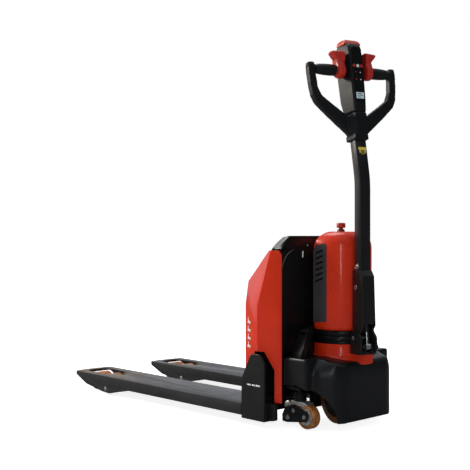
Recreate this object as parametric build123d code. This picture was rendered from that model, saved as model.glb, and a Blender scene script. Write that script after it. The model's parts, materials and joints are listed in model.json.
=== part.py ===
from build123d import *
from math import atan2, cos, degrees, radians, sin, sqrt, tan
import os

# Electric pallet truck, millimetres.  +X points to the operator, +Y to the
# truck's far side, +Z up, and Z = 0 is the floor.  Everything is drawn about
# the steering axis, then moved so that the origin lies under the middle.

# ---- driving dimensions ----------------------------------------------------
WIDTH_OVER_FORKS = 560.0
FORK_WIDTH = 172.0
FORK_TOP = 74.0
FORK_FRONT = -1000.0        # where the straight sides end at the tip
NOSE_BULGE = 45.0
FORK_BACK = -8.0
FORK_PLATE = 6.0
FORK_WALL = 5.0
FORK_SKIRT = 36.0           # height of the lower edge of the fork's sides
TIP_LOW = 10.0              # lowest point of the side bulge round the rollers
LIFT = 100.0
WINDOW_FRONT = -988.0         # hole in the fork's top over the rollers
WINDOW_BACK = -838.0
WINDOW_HALF = 48.0

STEER_X = 172.0
REST_STEER = -17.5          # the tiller is turned this far at rest

RUN_FIT = 0.05              # radial clearance of pins and running bores
AIR = 0.4                   # clearance between neighbouring loose parts

# load end
ROLLER_R = 35.0
ROLLER_WIDTH = 64.0
ROLLER_PITCH = 78.0
ROLLER_AXLE_R = 8.0
CARRIER_PLATE = 5.0
LINK_PLATE = 6.0
LINK_PIN_X = -794.0
LINK_PIN_Z = 26.0
LINK_PIN_R = 8.0
TANDEM_X = -900.0
HORN_LENGTH = 30.0
HORN_PIN_R = 7.0
ROD_R = 7.0
ROD_GAP = 0.7               # each rod end stands this far off its horn pin
PAD = 8.0                   # length of the rod's end pads

# rocker on the fork frame
ROCKER_X = 20.0
ROCKER_R = 12.0
ARM_Y = 83.0
ARM_THICK = 10.0
ARM_PIN_R = 8.0

# drive end
WHEEL_R = 90.0
WHEEL_WIDTH = 60.0
WHEEL_CORE_R = 68.0
HOOD_R = 102.0
HOOD_FRONT = 136.0
HOOD_LOW = 316.0
HOOD_TOP = 642.0
HOOD_WALL = 4.0
COLLAR_R = 100.0
COLLAR_LOW = 284.0
COLLAR_TOP = 301.0
COLLAR_SPREAD = 33.0        # half angle of the turning sector
SEAT_TOP = 283.0
MOUNT_LOW = 302.0
NECK_R = 62.0
NECK_TOP = 236.0
RING_LOW = 206.0
RING_TOP = 275.0
DECK_LOW = 212.0
DECK_TOP = 222.0
SKIRT_REAR = 286.0
SKIRT_HALF = 188.0
SKIRT_FRONT = 140.0
SKIRT_SIDE_END = 212.0      # where the sides turn in towards the rear
SKIRT_REAR_HALF = 108.0
SKIRT_LOW = 27.0
SKIRT_CREASE = 182.0
SKIRT_TOP = 240.0
SKIRT_WALL = 5.0
SIDE_PANEL_Y = 215.0
PANEL_TOP = 234.0
SIDE_PANEL_X0 = 107.0
SIDE_PANEL_X1 = 206.0
ARCH_X = 148.0
ARCH_Z = 38.0
ARCH_R = 110.0

BRACKET_X = 154.0
BRACKET_Y = 188.0
BRACKET_HALF = 20.0
BRACKET_THICK = 24.0
BRACKET_TALL = 92.0
BRACKET_LEAN = 22.0

# battery box, front cover and lid
COVER_FRONT = -40.0
COVER_BACK = 114.0
COVER_SIDE = 264.0          # widest, at COVER_WIDE_X
COVER_WIDE_X = 38.0
COVER_FRONT_SIDE = 242.0
COVER_BACK_SIDE = 230.0
COVER_LOW = 85.0
COVER_TOP_X = 70.0
COVER_FACET_Z = 400.0       # the corners lean in above this height
COVER_FACET_LEAN = 0.172     # and this far for each unit of height
COVER_WALL = 4.0
COVER_SLANT_Z = 476.0
COVER_TOP = 580.0
BOX_BACK = 112.0
BOX_FRONT = 36.0
YOKE_BACK = 4.0
YOKE_HALF = 224.0
BOX_LOW = 246.0
BOX_SIDE = 226.0
BOX_SHOULDER_R = 30.0
BOX_PANEL_R = 70.0
BOX_PANEL_DEEP = 3.0
LID_FRONT = 62.0
LID_HALF = 222.0
LID_TOP_FRONT = 84.0
LID_TOP_HALF = 190.0
HINGE_R = 2.5
HINGE_Y = 73.0
MOUTH_FRONT = 43.0
MOUTH_HALF = 150.0
BOX_WALL = 4.0
LID_TALL = 44.0
HEEL_FRONT = -22.0
HEEL_WIDTH = 35.0
HEEL_BACK = 85.0
HEEL_TOP = 243.0

# lift cylinder
LIFT_X = 55.0
SHELF_TOP = 48.0

# casters
CASTER_X = 137.0
CASTER_Y = 166.0
CASTER_R = 39.0
CASTER_TRAIL = 38.0
CASTER_LIFT = 4.0           # the casters hang just clear of the floor
CASTER_WIDTH = 32.0
CASTER_AXLE_R = 6.0

# tiller, as distance R from the steering axis and height Z
PIVOT_R = 120.0
PIVOT_Z = 297.0
EYE_R = 155.0
EYE_Z = 272.0
ANCHOR_R = 127.0
ANCHOR_Z = 526.0
SPRING_R = 8.0
CHANNEL_HALF = 23.25
CHANNEL_WALL = 4.0
CHANNEL_BACK = 105.0
TUBE = 36.0
TUBE_WALL = 3.0
TUBE_R = 127.5
TUBE_LOW = 440.0
BEND_Z = 770.0
LEAN = 9.0
GRIP_S = 403.0
GRIP_R = 18.5
GRIP_CORE_R = 14.0
LOOP_HALF_DEPTH = 14.0
KNUCKLE_Y = 172.0
POD_HALF = 38.0
POD_LOW = 262.0
POD_TOP = 496.0
TOP_S = 512.0
WING_AXIS = (4.0, 438.0)     # across and up the leaning handle
BUTTON_PLACES = ((-14.0, 412.0), (0.0, 412.0), (14.0, 412.0))

# ---- worked-out values -----------------------------------------------------
FORK_Y = (WIDTH_OVER_FORKS - FORK_WIDTH) / 2
FORK_UNDER = FORK_TOP - FORK_PLATE
ROLLER_Z = ROLLER_R
LINK_REST = atan2(ROLLER_Z - LINK_PIN_Z, LINK_PIN_X - TANDEM_X)
LINK_LENGTH = sqrt((LINK_PIN_X - TANDEM_X) ** 2 + (ROLLER_Z - LINK_PIN_Z) ** 2)
LINK_END = (LIFT - ROLLER_Z + LINK_PIN_Z) / LINK_LENGTH
SWING = LINK_REST + atan2(LINK_END, sqrt(1 - LINK_END ** 2))
HALF_SWING = SWING / 2
HORN_DX = HORN_LENGTH * sin(HALF_SWING)
HORN_DZ = HORN_LENGTH * cos(HALF_SWING)
ROD_Z = LINK_PIN_Z + HORN_LENGTH
ROCKER_Z = ROD_Z + HORN_LENGTH
ARM_LENGTH = LIFT / 2 / sin(HALF_SWING)
ARM_END_X = ROCKER_X + ARM_LENGTH * cos(HALF_SWING)
ARM_END_Z = ROCKER_Z + LIFT / 2
CASTER_Z = CASTER_LIFT + CASTER_R
CHASSIS_HALF = FORK_Y + 11
HEEL_OUT = WIDTH_OVER_FORKS / 2
HEEL_IN = HEEL_OUT - HEEL_WIDTH
BOX_TOP = COVER_TOP + 4
LID_TOP = BOX_TOP + LID_TALL
BATTERY_TOP = BOX_TOP - 34
LID_HINGE_X = BOX_BACK - 7
LID_HINGE_Z = LID_TOP - 6


# ---- small helpers ---------------------------------------------------------
def block(x0, x1, y0, y1, z0, z1):
    """Box between two corners."""
    centre = Pos((x0 + x1) / 2, (y0 + y1) / 2, (z0 + z1) / 2)
    return centre * Box(abs(x1 - x0), abs(y1 - y0), abs(z1 - z0))


def post(x, y, z0, z1, r):
    """Upright cylinder."""
    return Pos(x, y, (z0 + z1) / 2) * Cylinder(r, z1 - z0)


def bar(x, z, y0, y1, r):
    """Cylinder that lies across the truck."""
    return Pos(x, (y0 + y1) / 2, z) * Rot(90, 0, 0) * Cylinder(r, abs(y1 - y0))


def rod(y, z, x0, x1, r):
    """Cylinder that lies along the truck."""
    return Pos((x0 + x1) / 2, y, z) * Rot(0, 90, 0) * Cylinder(r, abs(x1 - x0))


def side_plate(points, y0, y1):
    """Plate with an outline in X and Z, between two values of Y."""
    face = make_face(Polyline(*[(x, y0, z) for x, z in points], close=True))
    return extrude(face, amount=y1 - y0, dir=(0, 1, 0))


def plan_plate(points, z0, z1):
    """Plate with an outline in X and Y, between two heights."""
    face = make_face(Polyline(*[(x, y, z0) for x, y in points], close=True))
    return extrude(face, amount=z1 - z0, dir=(0, 0, 1))


def face_plate(points, x0, x1):
    """Plate with an outline in Y and Z, between two values of X."""
    face = make_face(Polyline(*[(x0, y, z) for y, z in points], close=True))
    return extrude(face, amount=x1 - x0, dir=(1, 0, 0))


def same_side(shape):
    """The shape as it is drawn, on the near side."""
    return shape


def other_side(shape):
    """Mirror image across the truck's middle plane."""
    return mirror(shape, about=Plane.XZ)


def turned(shape):
    """Carry a shape drawn about the steering axis to the rest steer angle."""
    return Pos(STEER_X, 0, 0) * Rot(0, 0, REST_STEER) * shape


def leaned(shape):
    """Carry a shape drawn up the tube's upper length to its place."""
    return turned(Pos(TUBE_R, 0, BEND_Z) * Rot(0, -LEAN, 0) * shape)


# ---- forks -----------------------------------------------------------------
def fork():
    """Near fork: an inverted channel with a rounded nose and roller cutout."""
    half = FORK_WIDTH / 2
    back = FORK_BACK
    nose = ThreePointArc((FORK_FRONT, half), (FORK_FRONT - NOSE_BULGE, 0), (FORK_FRONT, -half))
    sides = Polyline((FORK_FRONT, -half), (back, -half), (back, half), (FORK_FRONT, half))
    plan = extrude(make_face(nose + sides), amount=FORK_TOP)
    profile = [(back, FORK_TOP), (FORK_FRONT - 5, FORK_TOP), (FORK_FRONT - 60, FORK_TOP - 7)]
    profile += [(FORK_FRONT - 60, 61), (FORK_FRONT, 61), (-928, 30), (-817, TIP_LOW + 3)]
    profile += [(-770, TIP_LOW), (-643, FORK_SKIRT), (back, FORK_SKIRT)]
    body = plan & side_plate(profile, -half, half)
    inner = half - FORK_WALL
    body -= block(FORK_FRONT, back, -inner, inner, 0, FORK_UNDER)
    body -= roller_window()
    body -= bar(LINK_PIN_X, LINK_PIN_Z, -half - 1, half + 1, LINK_PIN_R + RUN_FIT)
    body -= block(HEEL_FRONT, back + 1, -half - 1, FORK_Y - HEEL_IN, 0, FORK_TOP + 1)
    guide = block(-404, -396, -inner, inner, FORK_SKIRT, FORK_UNDER)
    guide -= rod(0, ROD_Z, -410, -390, ROD_R + RUN_FIT)
    return Pos(0, -FORK_Y, 0) * (body + guide)


def roller_window():
    """Hole in the fork's top over the rollers, with its narrow tail."""
    top, under = FORK_TOP + 1, FORK_UNDER - 1
    half, round_x = WINDOW_HALF, WINDOW_FRONT + 36
    wide = block(round_x, WINDOW_BACK, -half, half, under, top)
    wide += post(round_x, 0, under, top, half) & block(WINDOW_FRONT, round_x, -half, half, under, top)
    end, neck = WINDOW_BACK + 52, 14
    tail = plan_plate([(WINDOW_BACK, -half), (WINDOW_BACK + 20, -neck), (end, -neck), (end, neck),
                       (WINDOW_BACK + 20, neck), (WINDOW_BACK, half)], under, top)
    return wide + tail


def heels():
    """Tall box-like gussets outside the front cover, one per fork."""
    outline = [(HEEL_FRONT, 26), (HEEL_BACK, 26), (HEEL_BACK, HEEL_TOP - 25)]
    outline += [(HEEL_BACK - 23, HEEL_TOP), (26, HEEL_TOP), (HEEL_FRONT, 157)]
    foot = [(HEEL_FRONT, 26), (HEEL_BACK, 26), (HEEL_BACK, 84), (HEEL_FRONT, 84)]
    solid = side_plate(outline, -HEEL_OUT, -HEEL_OUT + 10)
    solid += side_plate(foot, -HEEL_OUT + 10, -HEEL_IN)
    return [solid, other_side(solid)]


def fork_yoke():
    """Upright plate that joins the forks, with lugs for the rocker shaft."""
    x0, x1 = FORK_BACK, YOKE_BACK
    plate = block(x0, x1, -HEEL_IN, HEEL_IN, FORK_SKIRT, 84)
    plate += block(x0, x1, -YOKE_HALF, YOKE_HALF, 84, 470)
    plate -= block(x0 - 1, x1 + 1, -60, 60, 0, 150)
    for side in (-1, 1):
        y = side * FORK_Y
        plate -= block(x0 - 1, x1 + 1, y - 18, y + 18, 0, FORK_TOP)
        lug = block(x1, ROCKER_X + 18, side * 146, side * 158, ROCKER_Z - 18, ROCKER_Z + 18)
        plate += lug - bar(ROCKER_X, ROCKER_Z, -170, 170, ROCKER_R + RUN_FIT)
    shelf = block(x1, BOX_BACK - 6, -110, 110, BOX_LOW - 6, BOX_LOW)
    return plate + shelf


def link_pins():
    """Hinge pins of the roller links, one across each fork."""
    half = FORK_WIDTH / 2 + 1.5
    return [bar(LINK_PIN_X, LINK_PIN_Z, y - half, y + half, LINK_PIN_R) for y in (-FORK_Y, FORK_Y)]


# ---- load rollers and their linkage ----------------------------------------
def roller_link():
    """Near link: two arms, a hinge tube and an upright horn."""
    inner = ROLLER_WIDTH / 2 + 2 * AIR + CARRIER_PLATE + AIR
    slope = degrees(LINK_REST)
    link = bar(LINK_PIN_X, LINK_PIN_Z, -inner - LINK_PLATE, inner + LINK_PLATE, LINK_PIN_R + 5)
    for side in (-1, 1):
        y0, y1 = side * inner, side * (inner + LINK_PLATE)
        y0, y1 = sorted((y0, y1))
        arm = block(-LINK_LENGTH, 0, y0, y1, -9, 9)
        link += Pos(LINK_PIN_X, 0, LINK_PIN_Z) * Rot(0, slope, 0) * arm
        link += bar(TANDEM_X, ROLLER_Z, y0, y1, 13)
        link -= bar(TANDEM_X, ROLLER_Z, y0 - 1, y1 + 1, 6 + RUN_FIT)
    horn = block(-6, 6, -6, 6, 0, HORN_LENGTH)
    link += Pos(LINK_PIN_X, 0, LINK_PIN_Z) * Rot(0, degrees(HALF_SWING), 0) * horn
    link += bar(LINK_PIN_X + HORN_DX, LINK_PIN_Z + HORN_DZ, -10, 10, HORN_PIN_R)
    link -= bar(LINK_PIN_X, LINK_PIN_Z, -80, 80, LINK_PIN_R + RUN_FIT)
    return Pos(0, -FORK_Y, 0) * link


def tandem_carrier():
    """Near carrier: two plates that hold a pair of rollers."""
    inner = ROLLER_WIDTH / 2 + 2 * AIR
    carrier = None
    for side in (-1, 1):
        y0, y1 = side * inner, side * (inner + CARRIER_PLATE)
        plate = block(TANDEM_X - ROLLER_PITCH / 2, TANDEM_X + ROLLER_PITCH / 2, y0, y1,
                      ROLLER_Z - 12, ROLLER_Z + 12)
        for end in (-1, 1):
            plate += bar(TANDEM_X + end * ROLLER_PITCH / 2, ROLLER_Z, y0, y1, 12)
        plate += bar(TANDEM_X, ROLLER_Z, y0, side * (inner + CARRIER_PLATE + LINK_PLATE), 6)
        carrier = plate if carrier is None else carrier + plate
    for end in (-1, 1):
        x = TANDEM_X + end * ROLLER_PITCH / 2
        carrier += bar(x, ROLLER_Z, -inner, inner, ROLLER_AXLE_R)
    return Pos(0, -FORK_Y, 0) * carrier


def load_roller(x):
    """Near load roller at one end of its carrier."""
    half = ROLLER_WIDTH / 2
    tread = fillet(Cylinder(ROLLER_R, ROLLER_WIDTH).edges(), 3)
    tyre = Pos(x, 0, ROLLER_Z) * Rot(90, 0, 0) * tread
    tyre -= bar(x, ROLLER_Z, -half - 1, half + 1, ROLLER_AXLE_R + RUN_FIT)
    return Pos(0, -FORK_Y, 0) * tyre


def push_rod():
    """Near push rod, with a flat pad at each end against the horn pins."""
    x0 = LINK_PIN_X + HORN_DX + HORN_PIN_R + ROD_GAP
    x1 = ROCKER_X + HORN_DX - HORN_PIN_R - ROD_GAP
    shaft = rod(-FORK_Y, ROD_Z, x0 + PAD / 2, x1 - PAD / 2, ROD_R)
    for start, end in ((x0, x0 + PAD), (x1 - PAD, x1)):
        shaft += block(start, end, -FORK_Y - 10, -FORK_Y + 10, ROD_Z - 5, ROD_Z + 6)
    return shaft


def rocker():
    """Cross shaft with two horns that push the rods and two reaction arms."""
    shaft = bar(ROCKER_X, ROCKER_Z, -FORK_Y - 10, FORK_Y + 10, ROCKER_R)
    for side in (-1, 1):
        y = side * FORK_Y
        horn = block(-4, 4, y - 7, y + 7, -HORN_LENGTH, 0)
        shaft += Pos(ROCKER_X, 0, ROCKER_Z) * Rot(0, -degrees(HALF_SWING), 0) * horn
        shaft += bar(ROCKER_X + HORN_DX, ROCKER_Z - HORN_DZ, y - 10, y + 10, HORN_PIN_R)
        y = side * ARM_Y
        arm = block(0, ARM_LENGTH, y - ARM_THICK / 2, y + ARM_THICK / 2, -9, 9)
        shaft += Pos(ROCKER_X, 0, ROCKER_Z) * Rot(0, -degrees(HALF_SWING), 0) * arm
        shaft += bar(ARM_END_X, ARM_END_Z, side * (ARM_Y - ARM_THICK / 2), side * 99.5, ARM_PIN_R)
    return shaft


# ---- battery end -----------------------------------------------------------
def slant_z(x):
    """Height of the cover's slanted front top at a distance x."""
    rise = (COVER_TOP - COVER_SLANT_Z) / (COVER_TOP_X - COVER_FRONT)
    return COVER_SLANT_Z + rise * (x - COVER_FRONT)


def cover_body(inset):
    """Solid outline of the front cover, pulled in by inset on every side."""
    front = COVER_FRONT + inset
    beyond = COVER_BACK + 40
    narrowing = (COVER_SIDE - COVER_BACK_SIDE) / (COVER_BACK - COVER_WIDE_X)
    half_beyond = COVER_BACK_SIDE - 40 * narrowing - inset
    right = [(front, COVER_FRONT_SIDE - inset), (COVER_WIDE_X, COVER_SIDE - inset), (beyond, half_beyond)]
    plan = right + [(x, -y) for x, y in reversed(right)]
    profile = [(front, COVER_LOW), (beyond, COVER_LOW), (beyond, COVER_TOP - inset)]
    profile += [(COVER_TOP_X, COVER_TOP - inset), (front, COVER_SLANT_Z)]
    body = plan_plate(plan, COVER_LOW, COVER_TOP) & side_plate(profile, -300, 300)
    run, spread = COVER_WIDE_X - COVER_FRONT, COVER_SIDE - COVER_FRONT_SIDE
    for side in (-1, 1):
        outward = Vector(-spread, side * run, COVER_FACET_LEAN * run).normalized()
        corner = Vector(COVER_FRONT, side * COVER_FRONT_SIDE, COVER_FACET_Z) - outward * inset
        body -= Plane(origin=corner, z_dir=outward) * Pos(0, 0, 100) * Box(800, 800, 200)
    return body


def front_cover():
    """Red cover across the front of the battery box and down both sides."""
    cover = cover_body(0) - cover_body(COVER_WALL)
    cover -= block(COVER_BACK, COVER_BACK + 60, -300, 300, 0, 700)
    cover -= block(COVER_TOP_X, COVER_BACK + 1, -LID_HALF, LID_HALF, COVER_TOP - 10, COVER_TOP + 1)
    cover -= block(MOUTH_FRONT, COVER_BACK, -MOUTH_HALF, MOUTH_HALF, BOX_TOP - 60, BOX_TOP)
    corner = [(COVER_BACK - 18, COVER_TOP + 1), (COVER_BACK - 7, COVER_TOP - 5)]
    corner += [(COVER_BACK - 1, COVER_TOP - 14), (COVER_BACK + 1, COVER_TOP - 24)]
    corner.append((COVER_BACK + 1, COVER_TOP + 1))
    cover -= side_plate(corner, -300, 300)
    arch = [(HEEL_BACK + 7, 60), (HEEL_BACK + 7, 190), (60, HEEL_TOP + 6), (22, HEEL_TOP + 6)]
    arch += [(HEEL_FRONT - AIR, 165), (HEEL_FRONT - 40, 120), (HEEL_FRONT - 40, 60)]
    arch_in = COVER_BACK_SIDE - 8
    cover -= side_plate(arch, -300, -arch_in)
    cover -= side_plate(arch, arch_in, 300)
    cover -= box_body(-AIR)
    return cover


def rounded_wall(half, low, high, r):
    """Outline in Y and Z with upright sides and two rounded upper corners."""
    centre_y, centre_z = half - r, high - r
    arc = [(centre_y + r * cos(radians(15 * i)), centre_z + r * sin(radians(15 * i))) for i in range(7)]
    return [(-half, low), (half, low)] + arc + [(-y, z) for y, z in reversed(arc)]


def box_body(inset):
    """Solid outline of the battery box with its rounded shoulders."""
    outline = rounded_wall(BOX_SIDE - inset, BOX_LOW + inset, BOX_TOP - inset, BOX_SHOULDER_R)
    body = face_plate(outline, BOX_FRONT + inset, BOX_BACK - BOX_PANEL_DEEP - inset)
    under = -6 - 1.4 * inset
    x0 = BOX_FRONT - 1
    slope = [(x0, slant_z(x0) + under), (COVER_TOP_X, COVER_TOP + under)]
    slope += [(COVER_TOP_X, BOX_TOP + 9), (x0, BOX_TOP + 9)]
    return body - side_plate(slope, -300, 300)


def battery_box():
    """Black box with a raised rear panel and two hinge ears, open under the lid."""
    panel = rounded_wall(BOX_SIDE - 2, BOX_LOW + 4, BOX_TOP, BOX_PANEL_R)
    shell = box_body(0) + face_plate(panel, BOX_BACK - BOX_PANEL_DEEP, BOX_BACK) - box_body(BOX_WALL)
    for side in (-1, 1):
        y0, y1 = sorted((side * (HINGE_Y - 3), side * (HINGE_Y + 3)))
        shell += block(LID_HINGE_X - 4, LID_HINGE_X + 4, y0, y1, BOX_TOP - BOX_WALL, LID_HINGE_Z)
        shell += bar(LID_HINGE_X, LID_HINGE_Z, y0, y1, 4)
        y0, y1 = sorted((side * (HINGE_Y - 11), side * (HINGE_Y + 11)))
        shell += bar(LID_HINGE_X, LID_HINGE_Z, y0, y1, HINGE_R)
    mouth = block(MOUTH_FRONT, BOX_BACK - 16, -MOUTH_HALF, MOUTH_HALF, BOX_TOP - 60, BOX_TOP + 20)
    return shell - mouth


def battery():
    """Slim battery pack that stands in the box, with its handle."""
    x0, x1 = BOX_FRONT + BOX_WALL + 4, BOX_BACK - BOX_WALL - 17
    low = BOX_LOW + BOX_WALL
    pack = block(x0, x1, -140, 140, low, BATTERY_TOP - 30)
    handle = block(x0 + 14, x1 - 14, -60, 60, BATTERY_TOP - 30, BATTERY_TOP)
    handle -= block(x0 + 10, x1 - 10, -48, 48, BATTERY_TOP - 30, BATTERY_TOP - 12)
    return pack + handle


def battery_lid():
    """Lid over the box, sloping down in front and at the sides, on two hinges."""
    z0, rear = BOX_TOP + AIR, BOX_BACK - 2
    bottom = [(LID_FRONT, -LID_HALF), (rear, -LID_HALF), (rear, LID_HALF), (LID_FRONT, LID_HALF)]
    top = [(LID_TOP_FRONT, -LID_TOP_HALF), (rear, -LID_TOP_HALF)]
    top += [(x, -y) for x, y in reversed(top)]
    low_face = make_face(Polyline(*[(x, y, z0) for x, y in bottom], close=True))
    top_face = make_face(Polyline(*[(x, y, LID_TOP) for x, y in top], close=True))
    lid = loft([low_face, top_face])
    x0, x1 = MOUTH_FRONT - 5, COVER_TOP_X - AIR
    apron = [(x0, slant_z(x0) + AIR), (x0 - 1, slant_z(x0) + 5), (LID_FRONT + 3, z0 + 6)]
    apron += [(x1, z0 + 6), (x1, slant_z(x1) + AIR)]
    lid += side_plate(apron, -LID_HALF + 2, LID_HALF - 2)
    lid -= block(LID_TOP_FRONT + 4, rear - 11, -LID_TOP_HALF + 6, LID_TOP_HALF - 6, z0 - 1, LID_TOP - 5)
    for side in (-1, 1):
        y0, y1 = sorted((side * (HINGE_Y - 5), side * (HINGE_Y + 5)))
        lid -= block(LID_HINGE_X - 6, rear + 1, y0, y1, z0 - 1, LID_TOP + 1)
        y0, y1 = sorted((side * (HINGE_Y - 12), side * (HINGE_Y + 12)))
        lid -= bar(LID_HINGE_X, LID_HINGE_Z, y0, y1, HINGE_R + RUN_FIT)
    return lid


# ---- chassis ---------------------------------------------------------------
def chassis_frame():
    """Deck with a bore for the steering neck, two cheeks and the low shelf."""
    wide, narrow = CHASSIS_HALF, 136
    deck = plan_plate([(36, -wide), (140, -wide), (140, -narrow), (200, -narrow), (232, -70), (232, 70),
                       (200, narrow), (140, narrow), (140, wide), (36, wide)], DECK_LOW, DECK_TOP)
    deck -= post(LIFT_X, 0, DECK_LOW - 1, DECK_TOP + 1, 14)
    deck -= post(STEER_X, 0, DECK_LOW - 1, DECK_TOP + 1, NECK_R + RUN_FIT)
    cheek = [(36, 40), (88, 40), (88, 112), (125, 112), (135, 130)]
    cheek += [(230, 130), (230, 160), (212, DECK_LOW), (36, DECK_LOW)]
    slot_low, slot_high = ARM_END_Z - ARM_PIN_R - 1.5, ARM_END_Z + ARM_PIN_R + 1.5
    slot_x0 = ARM_END_X - ARM_PIN_R - 1.5
    slot_x1 = ROCKER_X + ARM_LENGTH + ARM_PIN_R + 1.5
    for side in (-1, 1):
        y0, y1 = sorted((side * 92, side * 100))
        plate = side_plate(cheek, y0, y1)
        plate -= block(slot_x0, slot_x1, y0 - 1, y1 + 1, slot_low, slot_high)
        deck += plate
        y0, y1 = sorted((side * 100, side * 200))
        deck += block(CASTER_X - 25, CASTER_X + 26, y0, y1, 130, 138)
        y0, y1 = sorted((side * 192, side * 200))
        deck += block(CASTER_X - 25, 139, y0, y1, 130, DECK_LOW)
    deck += block(36, 74, -92, 92, 40, SHELF_TOP)
    return deck


def skirt_body(inset):
    """Solid outline of the drive skirt: upright sides, then a sloped top."""
    low = SKIRT_LOW if inset == 0 else SKIRT_LOW - 10

    def outline(cut, z):
        """Plan outline of the skirt at a height, drawn in by cut."""
        rear, half, rear_half = SKIRT_REAR - cut / 5, SKIRT_HALF - cut, SKIRT_REAR_HALF - cut / 2
        right = [(SKIRT_FRONT, half), (SKIRT_SIDE_END - cut / 2, half)]
        right += [(rear - 10, rear_half + 18), (rear, rear_half)]
        points = right + [(x, -y) for x, y in reversed(right)]
        return make_face(Polyline(*[(x, y, z) for x, y in points], close=True))

    lower = extrude(outline(inset, low), amount=SKIRT_CREASE - low, dir=(0, 0, 1))
    upper = loft([outline(inset, SKIRT_CREASE), outline(inset + 38, SKIRT_TOP - inset)])
    fall = [(200, SKIRT_TOP + 0.5 - inset), (300, 210 - inset), (300, 260), (200, 260)]
    return lower + upper - side_plate(fall, -250, 250)


def drive_skirt():
    """Black skirt round the drive wheel, with side panels over the casters."""
    skirt = skirt_body(0) - skirt_body(SKIRT_WALL)
    skirt -= block(100, 141, -220, 220, 0, 250)
    for side in (-1, 1):
        y0, y1 = sorted((side * (SKIRT_HALF - 7), side * SIDE_PANEL_Y))
        wing = block(SIDE_PANEL_X0, SIDE_PANEL_X1, y0, y1, 100, PANEL_TOP)
        y0, y1 = sorted((side * 150, side * (SIDE_PANEL_Y - 4)))
        hollow = block(SIDE_PANEL_X0 + 4, SIDE_PANEL_X1 - 4, y0, y1, 90, PANEL_TOP - 8)
        skirt = (skirt + wing) - hollow
        skirt -= bar(ARCH_X, ARCH_Z, side * 101, side * 240, ARCH_R)
        y0, y1 = sorted((side * 100, side * (CHASSIS_HALF + AIR)))
        skirt -= block(100, 140 + AIR, y0, y1, DECK_LOW - AIR, DECK_TOP + AIR)
    skirt -= post(STEER_X, 0, 200, 260, HOOD_R + 1)
    skirt -= block(60, HOOD_FRONT + 5, -128, 128, 200, 260)
    return skirt


def hood_body(inset, low, top):
    """Solid with the hood's D-shaped plan."""
    r = HOOD_R - inset
    line = Polyline((STEER_X, r, low), (HOOD_FRONT + inset, r, low),
                    (HOOD_FRONT + inset, -r, low), (STEER_X, -r, low))
    arc = ThreePointArc((STEER_X, -r, low), (STEER_X + r, 0, low), (STEER_X, r, low))
    return extrude(make_face(line + arc), amount=top - low, dir=(0, 0, 1))


def hood():
    """Red hood over the pump and controller, with a rounded top."""
    shell = hood_body(0, HOOD_LOW, HOOD_TOP)
    shell = fillet(shell.faces().sort_by(Axis.Z)[-1].edges(), 26)
    shell -= hood_body(HOOD_WALL, HOOD_LOW - 1, HOOD_TOP - 30)
    shell -= hood_body(30, HOOD_LOW, HOOD_TOP - HOOD_WALL)
    for side in (-1, 1):
        shell -= vent_plate(side, AIR)
    shell -= post(STEER_X, 0, HOOD_TOP - 40, HOOD_TOP + 1, 9)
    return shell


def vent_plate(side, grow):
    """Outline block of one vent panel in the hood's flat side."""
    y0, y1 = sorted((side * (HOOD_R - 2.5 - grow), side * (HOOD_R + 0.8)))
    return block(HOOD_FRONT + 5 - grow, STEER_X + 8 + grow, y0, y1, 342 - grow, 606 + grow)


def vent_panels():
    """Dark louvred panels, one in each flat side of the hood."""
    panels = []
    for side in (-1, 1):
        panel = vent_plate(side, 0)
        for i in range(6):
            z = 470 + 18 * i
            cut = Pos(STEER_X - 12, side * HOOD_R, z) * Rot(0, -20, 0) * Box(34, 3.4, 6)
            panel -= cut
        panels.append(panel)
    return panels


def hood_mount():
    """Fixed black drum over the turning collar; it carries the hood."""
    drum = post(STEER_X, 0, MOUNT_LOW, HOOD_LOW, COLLAR_R + 1)
    drum -= block(0, HOOD_FRONT, -120, 120, 0, 400)
    for side in (-1, 1):
        y0, y1 = sorted((side * (HOOD_R + 1), side * 125))
        drum += block(HOOD_FRONT, HOOD_FRONT + 4.5, y0, y1, DECK_TOP, HOOD_LOW + 14)
        y0, y1 = sorted((side * 70, side * 125))
        drum += block(HOOD_FRONT, HOOD_FRONT + 4.5, y0, y1, MOUNT_LOW, HOOD_LOW)
    return drum


def lower_ring():
    """Red ring cover round the steering neck, standing on the deck."""
    ring = post(STEER_X, 0, RING_LOW, RING_TOP, HOOD_R)
    ring -= post(STEER_X, 0, RING_LOW - 1, RING_TOP + 1, HOOD_R - 8)
    ring -= block(0, HOOD_FRONT, -120, 120, 200, 300)
    return ring - block(0, 236, -220, 220, 100, DECK_TOP)


def collar_seat():
    """Black rim on top of the red ring, under the turning collar."""
    rim = post(STEER_X, 0, RING_TOP, SEAT_TOP, COLLAR_R + 1)
    rim -= post(STEER_X, 0, RING_TOP - 1, SEAT_TOP + 1, HOOD_R - 8)
    return rim - block(0, HOOD_FRONT, -120, 120, 200, 300)


def side_brackets():
    """Leaning slotted brackets that stand on the deck beside the hood."""
    brackets = []
    for side in (-1, 1):
        half, thick = BRACKET_HALF, BRACKET_THICK / 2
        plate = block(-half, half, -thick, thick, 0, BRACKET_TALL)
        plate -= block(8 - half, half - 8, -thick - 1, thick + 1, BRACKET_TALL - 24, BRACKET_TALL - 14)
        leaning = Pos(BRACKET_X, side * BRACKET_Y, PANEL_TOP + 5) * Rot(side * BRACKET_LEAN, 0, 0) * plate
        y0, y1 = sorted((side * (BRACKET_Y - thick - 2), side * (BRACKET_Y + thick + 2)))
        foot = block(BRACKET_X - half, BRACKET_X + half, y0, y1, PANEL_TOP, PANEL_TOP + 8)
        brackets.append(leaning + foot)
    return brackets


def lift_cylinder():
    """Barrel of the lift cylinder on the chassis shelf."""
    barrel = post(LIFT_X, 0, SHELF_TOP, 190, 19)
    return barrel - post(LIFT_X, 0, 60, 191, 12 + RUN_FIT)


def lift_piston():
    """Piston rod that bears on the shelf under the battery box."""
    return post(LIFT_X, 0, 74, BOX_LOW - 6, 12)


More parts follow.
